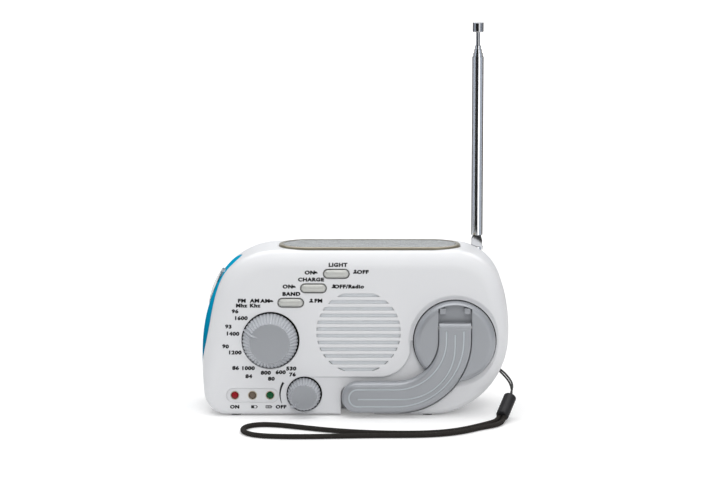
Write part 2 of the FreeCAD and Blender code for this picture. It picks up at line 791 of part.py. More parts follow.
# ---------------------------------------------------------------- torch and solar panel

def torch_insert():
    skin = OUTSIDE.cut(CAVITY).common(insert_prism(FIT))
    sleeve = along_torch(LENS_R + FIT + SLEEVE, -SLEEVE_D, 2.0).common(OUTSIDE)
    skin = join(skin, [sleeve])
    return skin.cut(along_torch(LENS_R + FIT, -SLEEVE_D - 1, 6.0)).Solids[0]


def torch_lens():
    """A round window whose outer face is slightly domed."""
    edge = LENS_PROUD - LENS
    dome_r = 40.0
    disc = along_torch(LENS_R, edge, LENS_PROUD + 2)
    ball = Part.makeSphere(dome_r, TORCH_AT + AXIS * (LENS_PROUD + 0.7 - dome_r))
    return disc.common(ball)


def torch_reflector():
    """A bowl that narrows to the LED's hole."""
    rim = LENS_PROUD - LENS - FIT
    base = -SLEEVE_D - 3.0
    outer = torch_cone((REFLECTOR_BACK_R + 1.4, LENS_R - FIT), base, rim)
    inner = torch_cone((TORCH_LED_R + FIT, LENS_R - FIT - REFLECTOR_WALL), base + 1.0, rim)
    hole = along_torch(TORCH_LED_R + FIT, base - 1, base + 1.5)
    return outer.cut([inner, hole])


def torch_led():
    """The LED with the small round board that it is soldered to."""
    base = -SLEEVE_D - 3.0
    board = along_torch(TORCH_BOARD_R, base - 1.3, base - FIT)
    lamp = along_torch(TORCH_LED_R, base - FIT, base + 3.0)
    tip = Part.makeSphere(TORCH_LED_R, TORCH_AT + AXIS * (base + 3.0))
    return join(board, [lamp, tip])


def solar_bezel():
    z = (BODY_H - SOLAR_DEEP, BODY_H + SOLAR_PROUD)
    ring = solar_block(-FIT, z)
    top = [e for e in ring.Edges if min(v.Z for v in e.Vertexes) > z[1] - 0.01]
    ring = ring.makeFillet(0.9, top)
    return ring.cut(solar_block(-FIT - SOLAR_RIM, (z[0] - 1, z[1] + 1)))


def solar_cover():
    z = BODY_H + SOLAR_PROUD - 0.15
    return solar_block(-2 * FIT - SOLAR_RIM, (z - COVER, z))


def solar_panel():
    """The cells on their board, on the recess's floor."""
    length, width, thick = CELLS
    y = FRONT + (SOLAR_Y[0] + SOLAR_Y[1]) / 2
    z = BODY_H - SOLAR_DEEP
    panel = box((SOLAR_X - length / 2, SOLAR_X + length / 2), (y - width / 2, y + width / 2), (z, z + thick))
    corners = [e for e in panel.Edges if abs(e.Vertexes[0].Z - e.Vertexes[-1].Z) > 0.5]
    return panel.makeChamfer(5.0, corners)


# ---------------------------------------------------------------- loudspeaker

def speaker_y(back):
    """The Y of a point so far behind the loudspeaker's front."""
    return FRONT + GRILLE_WALL + CLOTH + 0.05 + back


def speaker_cloth():
    near = FRONT + GRILLE_WALL + 0.03
    return rod_y(GRILLE_R - 0.2, GRILLE, (near, near + CLOTH))


def speaker_frame():
    flange = rod_y(SPEAKER_R, GRILLE, (speaker_y(0), speaker_y(SPEAKER_FLANGE)))
    ends = (speaker_y(SPEAKER_FLANGE), speaker_y(BASKET_D))
    basket = taper_y((SPEAKER_R - 1.5, MAGNET_R + 0.6), GRILLE, ends)
    hollow = taper_y((SPEAKER_R - 3.5, MAGNET_R - 0.4), GRILLE, (ends[0] - 0.01, ends[1] - 0.9))
    frame = join(flange, [basket]).cut([hollow, rod_y(SPEAKER_R - 2.0, GRILLE, (FRONT, ends[0] + 0.01))])
    voice = rod_y(4.4, GRILLE, (speaker_y(0), speaker_y(BASKET_D) + 1))
    windows = []
    for n in range(4):
        bar = box((-3.5, 3.5), (speaker_y(3.2), speaker_y(BASKET_D - 2.2)), (MAGNET_R, SPEAKER_R + 2))
        bar.rotate(V(0, 0, 0), V(0, 1, 0), 45 + 90 * n)
        bar.translate(V(GRILLE[0], 0, GRILLE[1]))
        windows.append(bar)
    return frame.cut([voice] + windows)


def speaker_cone():
    """The paper cone with its rolled edge and dust cap."""
    paper = 0.5
    rim = SPEAKER_R - 2.1
    edge = SPEAKER_FLANGE - paper
    deep = 6.0
    profile = (
        (0.0, 3.0), (3.0, 3.4), (5.0, 4.6), (rim - 3.0, edge), (rim, edge),
        (rim, SPEAKER_FLANGE), (rim - 2.8, SPEAKER_FLANGE), (4.2, 4.9 + paper), (4.2, deep + 2.0),
        (3.7, deep + 2.0), (3.7, 4.3 + paper), (2.8, 3.4 + paper), (0.0, 3.0 + paper),
    )
    return turned(profile, GRILLE, speaker_y)


def speaker_magnet():
    start = speaker_y(BASKET_D) + 0.02
    magnet = rod_y(MAGNET_R, GRILLE, (start, start + MAGNET_D))
    return magnet.cut(rod_y(4.8, GRILLE, (start - 1, start + MAGNET_D - 2)))


# ---------------------------------------------------------------- board and electrics

def main_board():
    left, step, right = BOARD_X
    low, mid, high = BOARD_Z
    y = (BOARD_Y, BOARD_REAR)
    board = join(box((left, right), y, (low, mid)), [box((step, right), y, (low, high))])
    holes = [rod_y(SPEAKER_R + 1.2, GRILLE, (y[0] - 1, y[1] + 1))]
    holes.append(finger_pocket(SEAT + GAP))
    holes += [rod_y(SCREW_BOSS_R + GAP, at, (y[0] - 1, y[1] + 1)) for at in SCREWS]
    holes += [rod_y(SCREW_R, at, (y[0] - 1, y[1] + 1)) for at in BOARD_POSTS]
    return max(board.cut(holes).Solids, key=lambda s: s.Volume)


def control_y():
    """Front and back of the tuning capacitor and the volume control, which stand on the board."""
    return (BOARD_Y - CONTROL_D, BOARD_Y)


def tuning_capacitor():
    half = CAPACITOR_SIDE / 2
    y = control_y()
    case = box_around(TUNING["at"], half, y)
    sides = [e for e in case.Edges if abs(e.Vertexes[0].Y - e.Vertexes[-1].Y) > 1]
    return case.makeFillet(1.5, sides).cut(rod_y(SHAFT_R + TURN, TUNING["at"], (y[0] - 1, y[1] - 1.4)))


def volume_pot():
    y = control_y()
    case = rod_y(POT_R, VOLUME["at"], y)
    return case.cut(rod_y(SHAFT_R + TURN, VOLUME["at"], (y[0] - 1, y[1] - 1.4)))


def control_shaft(knob):
    """A plain shaft from inside the knob to inside its control."""
    return rod_y(SHAFT_R, knob["at"], (front(KNOB_H - 2.4), control_y()[1] - 1.6))


def knob_solid(knob):
    """A tapered knob with a flat top; it turns in its shallow recess."""
    foot = -(KNOB_RECESS - GAP)
    profile = (
        (0.0, foot), (knob["foot_r"], foot), (knob["foot_r"], 0.9),
        (knob["top_r"] + KNOB_EDGE, KNOB_H - 0.9), (knob["top_r"], KNOB_H), (0.0, KNOB_H),
    )
    solid = turned(profile, knob["at"], front)
    return solid.cut(rod_y(SHAFT_R, knob["at"], (front(KNOB_H - 2.4), FRONT + 3)))


def push_button(at):
    """A cap with round ends, a flange behind the wall and a square stem into the switch."""
    cap_y = (front(BUTTON_PROUD), INSIDE + GAP + BUTTON_FLANGE)
    cap = slot_y(at, BUTTON_L - 2 * BUTTON_GAP, BUTTON_W - 2 * BUTTON_GAP, cap_y)
    rim = [e for e in cap.Edges if max(v.Y for v in e.Vertexes) < cap_y[0] + 0.01]
    cap = cap.makeFillet(0.9, rim)
    flange = slot_y(at, BUTTON_L + 1.4, BUTTON_W + 1.4, (INSIDE + GAP, INSIDE + GAP + BUTTON_FLANGE))
    stem = box_around(at, STEM / 2, (INSIDE + GAP, BOARD_Y - BUTTON_TRAVEL - 0.3))
    return join(cap, [flange, stem])


def push_switches():
    """Three latching switches on the board, each with a square well for its button's stem."""
    cases = []
    for at in button_spots():
        case = box_around(at, SWITCH_SIDE / 2, (BOARD_Y - SWITCH_D, BOARD_Y))
        cases.append(case.cut(box_around(at, STEM / 2 + FIT, (BOARD_Y - SWITCH_D - 1, BOARD_Y - 0.05))))
    return Part.makeCompound(cases)


def indicator_lamp(at):
    """A domed LED with its collar and its two leads down to the board."""
    tip = front(LAMP_PROUD)
    dome = Part.makeSphere(LAMP_R, V(at[0], tip + LAMP_R, at[1]))
    barrel = rod_y(LAMP_R, at, (tip + LAMP_R, tip + LAMP_L))
    collar = rod_y(LAMP_R + 0.4, at, (INSIDE + 0.05, INSIDE + 1.05))
    leads = [
        box((at[0] + x - 0.25, at[0] + x + 0.25), (tip + LAMP_L - 0.5, BOARD_Y), (at[1] - 0.25, at[1] + 0.25))
        for x in (-1.0, 1.0)
    ]
    return join(dome, [barrel, collar] + leads)


def ferrite_rod():
    """The aerial rod in its coil, on two legs that stand on the back of the board."""
    x, z = FERRITE_AT
    y = BOARD_REAR + FERRITE_BACK
    rod = rod_x(FERRITE_R, (y, z), (x - FERRITE_L / 2, x + FERRITE_L / 2))
    coil = rod_x(FERRITE_R + 0.9, (y, z), (x - 9.0, x + 9.0))
    legs = []
    for side in (-1, 1):
        at = x + side * (FERRITE_L / 2 - 8.0)
        legs.append(box((at - 2.0, at + 2.0), (BOARD_REAR, y), (z - 3.0, z + 3.0)))
        legs.append(rod_x(FERRITE_R + 1.2, (y, z), (at - 2.0, at + 2.0)))
    return join(rod, [coil] + legs)


def battery_pack():
    """Three AAA cells side by side in their sleeve."""
    y = BACK - DOOR - 0.2 - BAY_D + CELL_R + 0.3
    middle = (BAY_Z[0] + BAY_Z[1]) / 2
    x = (BAY_X[0] + BAY_X[1]) / 2
    ends = (x - CELL_L / 2, x + CELL_L / 2 - 1.0)
    pitch = 2 * CELL_R - 0.2
    cells = [rod_x(CELL_R, (y, middle + n * pitch), ends) for n in (-1, 0, 1)]
    nubs = [rod_x(1.9, (y, middle + n * pitch), (ends[1], ends[1] + 1.0)) for n in (-1, 0, 1)]
    return join(cells[0], cells[1:] + nubs)


def battery_contacts():
    """A plate at each end of the bay; the one at the flat ends carries three short springs."""
    y = BACK - DOOR - 0.2 - BAY_D + CELL_R + 0.3
    middle = (BAY_Z[0] + BAY_Z[1]) / 2
    x = (BAY_X[0] + BAY_X[1]) / 2
    pitch = 2 * CELL_R - 0.2
    half = 1.5 * pitch
    left = box((BAY_X[0], BAY_X[0] + 0.4), (y - 4.5, y + 4.5), (middle - half, middle + half))
    right = box((BAY_X[1] - 0.4, BAY_X[1]), (y - 4.5, y + 4.5), (middle - half, middle + half))
    stop = x - CELL_L / 2 - 0.05
    springs = []
    for n in (-1, 0, 1):
        start = V(BAY_X[0] + 0.4, y, middle + n * pitch)
        cone = Part.makeCone(3.6, 2.4, stop - start.x, start, V(1, 0, 0))
        hollow = Part.makeCone(3.0, 1.8, stop - start.x, start, V(1, 0, 0))
        springs.append(cone.cut(hollow))
    nub = x + CELL_L / 2 + 0.05
    tabs = [rod_x(2.6, (y, middle + n * pitch), (nub, BAY_X[1] - 0.3)) for n in (-1, 0, 1)]
    return Part.makeCompound([join(left, springs), join(right, tabs)])


def battery_door():
    """A flush door with three finger ridges near its right edge."""
    door = door_box(0.0, (BACK - DOOR, BACK))
    ridges = []
    for n in range(3):
        x = BAY_X[1] - 5.0 - 3.0 * n
        ridges.append(slot_z(0, 0, 14.0, 1.2, (0, 0.6)))
        ridges[-1].rotate(V(0, 0, 0), V(0, 1, 0), 90)
        ridges[-1].rotate(V(0, 0, 0), V(0, 0, 1), 90)
        ridges[-1].translate(V(x, BACK - 0.6, (BAY_Z[0] + BAY_Z[1]) / 2))
    return door.cut(ridges)


def output_jack():
    """A small socket for the charging lead, seated against the back wall."""
    far = BACK - WALL - FIT
    case = box_around(JACK_AT, JACK_SIDE / 2, (far - JACK_BORE - 1.0, far))
    nose = rod_y(JACK_BORE_R + 1.3, JACK_AT, (far, BACK - 0.4))
    return join(case, [nose]).cut(rod_y(JACK_BORE_R, JACK_AT, (BACK - 0.4 - JACK_BORE, BACK + 1)))


# ---------------------------------------------------------------- crank

def arm_y():
    return (front(HINGE_H + BARREL_R - ARM_STEP), front(HINGE_H - BARREL_R))


def crank_disc():
    """The turning disc, with a slot for the folded arm, a pocket above it and two stop pegs."""
    disc = rod_y(DISC_R, CRANK, (front(DISC_H), FRONT + DISC_WELL - GAP))
    rim = [e for e in disc.Edges if e.BoundBox.YMax < front(DISC_H) + 0.01]
    disc = disc.makeFillet(DISC_EDGE, rim)
    half = ARM_W / 2 + ARM_SIDE_GAP
    y = (front(DISC_H + 2), front(SLOT_FLOOR_H))
    slot = prism(strip(half, ARM_BEND_R, ARM_LOW, ARM_END_X, HINGE_Z), y)
    pocket = box((CRANK[0] - half, CRANK[0] + half), y, (HINGE_Z - 0.1, HINGE_Z + DISC_R))
    pocket = pocket.common(rod_y(POCKET_R, CRANK, y))
    disc = disc.cut([slot, pocket])
    disc = disc.cut([hinge_rod(HINGE_PIN_R, HINGE_PIN_END), rod_y(SHAFT_R, CRANK, (FRONT + 0.4, FRONT + 4))])
    pegs = [
        box_around((CRANK[0] + s * PEG_OUT, HINGE_Z + PEG_UP), PEG / 2, (front(PEG_H), front(SLOT_FLOOR_H - 0.2)))
        for s in (-1, 1)
    ]
    return join(disc, pegs)


def hinge_rod(radius, grip):
    """A rod on the arm's hinge axis, reaching grip into each cheek of the disc."""
    reach = ARM_W / 2 + ARM_SIDE_GAP + grip
    return rod_x(radius, (front(HINGE_H), HINGE_Z), (CRANK[0] - reach, CRANK[0] + reach))


def crank_arm():
    y = arm_y()
    half = ARM_W / 2
    bar = prism(strip(half, ARM_BEND_R, ARM_LOW, ARM_END_X, HINGE_Z), y)

    def radius(spot):
        away = math.hypot(spot.x - CRANK[0], spot.z - CRANK[1])
        return ARM_ROUND if away > DISC_R + 1.0 else ARM_EDGE

    radii = []
    for number, edge in enumerate(bar.Edges, 1):
        first = edge.valueAt(edge.FirstParameter)
        last = edge.valueAt(edge.LastParameter)
        at_front = abs(first.y - y[0]) < 1e-4 and abs(last.y - y[0]) < 1e-4
        across = abs(first.z - HINGE_Z) < 1e-4 and abs(last.z - HINGE_Z) < 1e-4
        if at_front and not across:
            radii.append((number, radius(first), radius(last)))
    bar = rounded(bar, radii)
    barrel = rod_x(BARREL_R, (front(HINGE_H), HINGE_Z), (CRANK[0] - half, CRANK[0] + half))
    bar = join(bar, [barrel])
    grooves = (y[0] - 1, y[0] + GROOVE_D)
    wide = strip(GROOVE_OUT + GROOVE_W / 2, ARM_BEND_R, ARM_LOW, ARM_END_X, HINGE_Z - GROOVE_START[0])
    slim = strip(GROOVE_OUT - GROOVE_W / 2, ARM_BEND_R, ARM_LOW, ARM_END_X, HINGE_Z)
    mid = strip(GROOVE_W / 2, GROOVE_MID["bend_r"], GROOVE_MID["low"], ARM_END_X, HINGE_Z - GROOVE_START[1])
    loop = prism(wide, grooves).cut(prism(slim, (grooves[0] - 1, grooves[1] + 1)))
    bar = bar.cut([loop, prism(mid, grooves), hinge_rod(HINGE_PIN_R + 0.08, 0)])
    seat = rod_y(GRIP_R + GAP, (ARM_END_X, ARM_LOW), (y[0] + GRIP_SKIN, y[1] + 1))
    pin = rod_y(GRIP_PIN_R, (ARM_END_X, ARM_LOW), (y[0] + GRIP_SKIN - 0.2, y[1] - 0.6))
    return join(bar.cut(seat), [pin])


def crank_grip():
    """The finger cup that turns on the arm's stud; its dimple faces out once the arm is swung over."""
    y = arm_y()
    at = (ARM_END_X, ARM_LOW)
    cup = rod_y(GRIP_R, at, (y[0] + GRIP_SKIN + GAP, y[1] + GRIP_PROUD))
    rim = [e for e in cup.Edges if e.BoundBox.YMin > y[1] + GRIP_PROUD - 0.01]
    cup = cup.makeFillet(0.5, rim)
    dimple = taper_y((GRIP_DIMPLE_R - 1.4, GRIP_DIMPLE_R), at, (y[1] - 0.5, y[1] + GRIP_PROUD + 0.01))
    return cup.cut([dimple, rod_y(GRIP_PIN_R + TURN, at, (y[0], y[1] + 2))])


def plate_y():
    """Front of the gearbox's front plate."""
    return FRONT + DISC_WELL + SEAT + 1.2


def idler_at():
    reach = COARSE * (DRIVE_TEETH + PINION_TEETH) / 2
    return (CRANK[0] + reach * cos(IDLER_DEG), CRANK[1] + reach * sin(IDLER_DEG))


def rotor_at():
    reach = FINE * (WHEEL_TEETH + PINION_TEETH) / 2
    x, z = idler_at()
    return (x + reach * cos(ROTOR_DEG), z + reach * sin(ROTOR_DEG))


def gear(module, teeth, at, phase, y):
    """An involute spur gear with a tooth centred on the angle phase."""
    pitch_r = module * teeth / 2
    base_r = pitch_r * cos(PRESSURE_DEG)
    tip_r = pitch_r + 0.9 * module
    root_r = pitch_r - 1.15 * module
    half = math.pi / (2 * teeth) - BACKLASH / (2 * pitch_r)

    def roll(angle):
        return math.tan(angle) - angle

    start_r = max(base_r, root_r) + 1e-3
    steps = [start_r + (tip_r - start_r) * n / 4 for n in range(5)]
    lean = [half + roll(math.radians(PRESSURE_DEG)) - roll(math.acos(base_r / r)) for r in steps]

    def spot(radius, angle):
        return V(at[0] + radius * math.cos(angle), 0, at[1] + radius * math.sin(angle))

    edges = []
    pitch = 2 * math.pi / teeth
    for n in range(teeth):
        middle = math.radians(phase) + n * pitch
        rise = [spot(r, middle - a) for r, a in zip(steps, lean)]
        fall = [spot(r, middle + a) for r, a in zip(reversed(steps), reversed(lean))]
        foot = [spot(root_r, middle - lean[0]), spot(root_r, middle + lean[0])]
        following = spot(root_r, middle + pitch - lean[0])
        for side in (rise, fall):
            curve = Part.BSplineCurve()
            curve.interpolate(side)
            edges.append(curve.toShape())
        edges.append(Part.makeLine(foot[0], rise[0]))
        edges.append(Part.makeLine(fall[-1], foot[1]))
        edges.append(Part.Arc(rise[-1], spot(tip_r, middle), fall[0]).toShape())
        gap_middle = middle + pitch / 2
        edges.append(Part.Arc(foot[1], spot(root_r, gap_middle), following).toShape())
    return prism(Part.Wire(Part.__sortEdges__(edges)), y)


def coarse_y():
    """Where the first pair of gears lies."""
    start = plate_y() + PLATE + 1.2
    return (start, start + GEAR_W)


def fine_y():
    """Where the second pair lies, behind the first."""
    start = coarse_y()[1] + 1.4
    return (start, start + GEAR_W)


def cover_y():
    """Front of the gearbox's rear plate."""
    return plate_y() + PLATE + PLATE_SPACE


def crank_shaft():
    shaft = rod_y(SHAFT_R, CRANK, (FRONT + 0.45, coarse_y()[1] + 2.0))
    return join(shaft, [rod_y(2.0, CRANK, (coarse_y()[1], cover_y() + PLATE))])


def drive_gear():
    wheel = gear(COARSE, DRIVE_TEETH, CRANK, IDLER_DEG, coarse_y())
    hub = rod_y(5.5, CRANK, (coarse_y()[0] - 0.8, coarse_y()[1] + 1.2))
    wheel = join(wheel, [hub])
    pitch_r = COARSE * DRIVE_TEETH / 2
    holes = [
        rod_y(3.4, (CRANK[0] + 0.6 * pitch_r * cos(a), CRANK[1] + 0.6 * pitch_r * sin(a)),
              (coarse_y()[0] - 1, coarse_y()[1] + 1))
        for a in range(30, 390, 60)
    ]
    return wheel.cut(holes + [rod_y(SHAFT_R, CRANK, (coarse_y()[0] - 2, coarse_y()[1] + 2))])


def idler_gear():
    """The small gear that the crank drives and the wheel that drives the generator, on one shaft."""
    at = idler_at()
    phase = IDLER_DEG + 180 + 180 / PINION_TEETH
    pinion_y = (coarse_y()[0] - 0.5, fine_y()[0])
    pinion = gear(COARSE, PINION_TEETH, at, phase, pinion_y)
    wheel = gear(FINE, WHEEL_TEETH, at, ROTOR_DEG, fine_y())
    shaft = rod_y(IDLER_R, at, (plate_y() + 0.1, cover_y() + PLATE - 0.1))
    return join(wheel, [pinion, shaft])


def generator_rotor():
    at = rotor_at()
    phase = ROTOR_DEG + 180 + 180 / PINION_TEETH
    pinion = gear(FINE, PINION_TEETH, at, phase, (fine_y()[0] - 0.5, fine_y()[1] + 0.5))
    magnet_y = stator_y()
    shaft = rod_y(ROTOR_R, at, (plate_y() + 0.1, magnet_y[1] - 0.2))
    magnet = rod_y(MAGNET_RING_R, at, (magnet_y[0] + 1.6, magnet_y[1] - 2.0))
    return join(pinion, [shaft, magnet])


def stator_y():
    start = cover_y() + PLATE
    return (start, start + STATOR_D)


def generator_stator():
    """The coil can around the rotor, closed by a back with the rotor's rear bearing."""
    at = rotor_at()
    y = stator_y()
    can = rod_y(STATOR_R, at, y)
    bore = rod_y(MAGNET_RING_R + 0.5, at, (y[0] - 1, y[1] - 1.4))
    waist = rod_y(STATOR_R + 1, at, (y[0] + 2.5, y[1] - 3.0)).cut(
        rod_y(STATOR_R - 1.0, at, (y[0], y[1])))
    return can.cut([bore, waist, rod_y(ROTOR_R + TURN, at, (y[0] - 1, y[1] + 1))])


def gear_plate(y):
    """A plate around the four posts, with round corners."""
    reach = POST_R
    wide = [rod_y(reach, at, y) for at in POSTS]
    plate = Part.makePolygon([V(x, y[0], z) for x, z in POSTS + POSTS[:1]])
    middle = Part.Face(plate).extrude(V(0, y[1] - y[0], 0))
    sides = []
    for a, b in zip(POSTS, POSTS[1:] + POSTS[:1]):
        length = math.hypot(b[0] - a[0], b[1] - a[1])
        nx, nz = (b[1] - a[1]) / length * reach, -(b[0] - a[0]) / length * reach
        spots = [(a[0], a[1]), (b[0], b[1]), (b[0] + nx, b[1] + nz), (a[0] + nx, a[1] + nz)]
        quad = Part.makePolygon([V(x, y[0], z) for x, z in spots + spots[:1]])
        sides.append(Part.Face(quad).extrude(V(0, y[1] - y[0], 0)))
    return join(middle, wide + sides)


def bearings(y):
    reach = (y[0] - 1, y[1] + 1)
    return [
        rod_y(IDLER_R + TURN, idler_at(), reach),
        rod_y(ROTOR_R + TURN, rotor_at(), reach),
    ]


def gearbox_frame():
    y = (plate_y(), plate_y() + PLATE)
    frame = join(gear_plate(y), [rod_y(POST_R, at, (y[0], cover_y())) for at in POSTS])
    holes = [rod_y(SCREW_R, at, (y[0] - 1, cover_y() + 1)) for at in POSTS]
    return frame.cut(holes + bearings(y) + [rod_y(SHAFT_R + TURN, CRANK, (y[0] - 1, y[1] + 1))])


def gearbox_cover():
    y = (cover_y(), cover_y() + PLATE)
    holes = [rod_y(SCREW_R + 0.1, at, (y[0] - 1, y[1] + 1)) for at in POSTS]
    return gear_plate(y).cut(holes + bearings(y) + [rod_y(2.0 + TURN, CRANK, (y[0] - 1, y[1] + 1))])


def screw(at, head_y, tip_y):
    """A pan-head screw along Y, driven from the back, its head seated at head_y."""
    head = rod_y(SCREW_HEAD_R, at, (head_y, head_y + SCREW_HEAD))
    shank = rod_y(SCREW_R - 0.05, at, (tip_y, head_y))
    cross = [
        box((at[0] - a, at[0] + a), (head_y + SCREW_HEAD - 0.7, head_y + SCREW_HEAD + 1), (at[1] - b, at[1] + b))
        for a, b in ((1.3, 0.25), (0.25, 1.3))
    ]
    return join(head, [shank]).cut(cross)


def housing_screws():
    return Part.makeCompound([screw(at, BACK - 4.0, JOINT - 7.0) for at in SCREWS])


def gearbox_screws():
    return Part.makeCompound([screw(at, cover_y() + PLATE, plate_y() + 1.0) for at in POSTS])


def board_screws():
    """The screws that hold the board, and the clamp screws whose heads lap the loudspeaker's rim."""
    pieces = [screw(at, BOARD_REAR, BOARD_Y - 3.0) for at in BOARD_POSTS]
    return Part.makeCompound(pieces)


# ---------------------------------------------------------------- antenna

def antenna_base():
    """The swivel: a stem in the housing's socket, a seat and a fork for the tube's foot."""
    at = (ANTENNA_X, antenna_y())
    floor = PIVOT_Z - TUBE_R[0] - GAP
    stem = rod_z(STEM_R, at, (SOCKET_TOP - STEM_L, SOCKET_TOP + FIT))
    seat = rod_z(TUBE_R[0] + 0.2, at, (SOCKET_TOP + FIT, floor))
    ears = []
    for side in (-1, 1):
        inner = antenna_y() + side * (TONGUE / 2 + 0.08)
        outer = inner + side * EAR
        y = (min(inner, outer), max(inner, outer))
        round_top = rod_y(FORK_R, (ANTENNA_X, PIVOT_Z), y)
        post = box((ANTENNA_X - FORK_R, ANTENNA_X + FORK_R), y, (floor - FIT, PIVOT_Z))
        ears += [round_top, post]
    base = join(seat, [stem] + ears)
    return base.cut(rod_y(0.9, (ANTENNA_X, PIVOT_Z), (antenna_y() - 5, antenna_y() + 5)))


def antenna_clip():
    """The spring ring that holds the stem under the socket."""
    at = (ANTENNA_X, antenna_y())
    z = (SOCKET_TOP - STEM_L + 0.3, SOCKET_TOP - STEM_L + 0.3 + CLIP)
    return rod_z(CLIP_R, at, z).cut(rod_z(STEM_R, at, (z[0] - 1, z[1] + 1)))


def antenna_rivet():
    at = (ANTENNA_X, PIVOT_Z)
    out = TONGUE / 2 + 0.08 + EAR
    y = antenna_y()
    rivet = rod_y(0.85, at, (y - out, y + out))
    heads = [rod_y(1.7, at, (y - out - 0.5, y - out)), rod_y(1.7, at, (y + out, y + out + 0.5))]
    return join(rivet, heads)


def tube_span(number):
    """Foot and top of a section while the antenna is pushed in."""
    foot = PIVOT_Z + TUBE_FOOT + (number * NEST + 3.0 if number else 0.0)
    top = PIVOT_Z + TUBE_FOOT + TUBE_L + number * RING_STEP
    return (foot, top)


def antenna_tube(number):
    """One section: a tube, the outermost with a flat tongue on the pivot."""
    at = (ANTENNA_X, antenna_y())
    z = tube_span(number)
    radius = TUBE_R[number]
    tube = rod_z(radius, at, z).cut(rod_z(radius - TUBE_WALL, at, (z[0] + 2.5, z[1] + 1)))
    if number:
        return tube
    y = antenna_y()
    tongue = box((ANTENNA_X - 2.2, ANTENNA_X + 2.2), (y - TONGUE / 2, y + TONGUE / 2), (PIVOT_Z, z[0] + 0.5))
    knuckle = rod_y(2.2, (ANTENNA_X, PIVOT_Z), (y - TONGUE / 2, y + TONGUE / 2))
    return join(tube, [tongue, knuckle]).cut(rod_y(0.9, (ANTENNA_X, PIVOT_Z), (y - 4, y + 4)))


def antenna_rod():
    """The innermost section, a rod with the cap that the fingers pull."""
    at = (ANTENNA_X, antenna_y())
    foot = tube_span(4)[0]
    neck = tube_span(3)[1] + ROD_OUT
    rod = rod_z(TUBE_R[4], at, (foot, neck))
    cap = rod_z(CAP_R, at, (neck, neck + CAP_H))
    ends = [e for e in cap.Edges if e.Closed and e.BoundBox.ZLength < 0.01]
    return join(rod, [cap.makeFillet(0.5, ends)])


# ---------------------------------------------------------------- feet and strap

def feet():
    z = (-FOOT_H, 0.0)
    spots = [(x, y) for x in FOOT_X for y in (FRONT + FOOT_INSET, BACK - FOOT_INSET)]
    return Part.makeCompound([rod_z(FOOT_R, at, z) for at in spots])


def cord(name, points, diameter):
    """A cord as straight runs joined by tangent arcs, each arc as large as its runs allow."""
    share = 0.45
    radii = []
    edges = []
    start = points[0]
    for before, corner, after in zip(points, points[1:], points[2:]):
        into = (corner - before).normalize()
        out = (after - corner).normalize()
        half = into.getAngle(out) / 2
        reach = share * min(before.distanceToPoint(corner), corner.distanceToPoint(after))
        radii.append(reach / math.tan(half))
        first = corner - into * reach
        last = corner + out * reach
        bisector = (out - into).normalize()
        centre = corner + bisector * (radii[-1] / math.cos(half))
        middle = centre - bisector * radii[-1]
        edges.append(Part.LineSegment(start, first).toShape())
        edges.append(Part.Arc(first, middle, last).toShape())
        start = last
    edges.append(Part.LineSegment(start, points[-1]).toShape())
    path = Part.Wire(edges)
    section = Part.Wire(Part.makeCircle(diameter / 2, points[0], points[1] - points[0]))
    tube = path.makePipeShell([section], True, False, 2)
    ideal = math.pi * diameter ** 2 / 4 * path.Length
    print(name, "length", round(path.Length, 1), "least radius", round(min(radii), 2),
          "volume share", round(tube.Volume / ideal, 4))
    return tube


def ferrule_ends():
    """Points on and just outside the ferrule's two faces, where the strands leave it square.

    Returns (string start, string end, braid start, braid end), each as (on the face, clear of it).
    """
    top, bottom = (V(*p) for p in FERRULE)
    away = (bottom - top).normalize()
    side = V(0, 0, 1).cross(away).normalize()
    over = away.cross(side)
    ends = []
    for face, out, step, reach in (
        (top, -away, over, STRING_OUT), (top, -away, -over, STRING_OUT),
        (bottom, away, -side, BRAID_OUT), (bottom, away, side, BRAID_OUT),
    ):
        apart = STRING_APART if face is top else BRAID_APART
        on_face = face + step * apart
        ends.append((on_face, on_face + out * reach))
    return ends


def strap_string():
    start, end, _, _ = ferrule_ends()
    path = list(start) + [V(*p) for p in STRING_PATH] + [end[1], end[0]]
    return cord("strap_string", path, STRING_D)


def strap_braid():
    _, _, start, end = ferrule_ends()
    path = list(start) + [V(*p) for p in BRAID_PATH] + [end[1], end[0]]
    return cord("strap_braid", path, BRAID_D)


def strap_ferrule():
    """The stepped plastic sleeve that grips the string and both ends of the braid."""
    top, bottom = (V(*p) for p in FERRULE)
    away = bottom - top
    sleeve = Part.makeCylinder(FERRULE_R, away.Length, top, away)
    ends = [e for e in sleeve.Edges if e.Closed]
    return sleeve.makeFillet(0.9, ends[:1])


# ---------------------------------------------------------------- write

def write(name, shape, lift=FOOT_H):
    shape = shape.copy()
    shape.translate(V(0, 0, lift))
    if not shape.isValid():
        print("not valid:", name)
    shape.exportStep("parts/" + name + ".step")


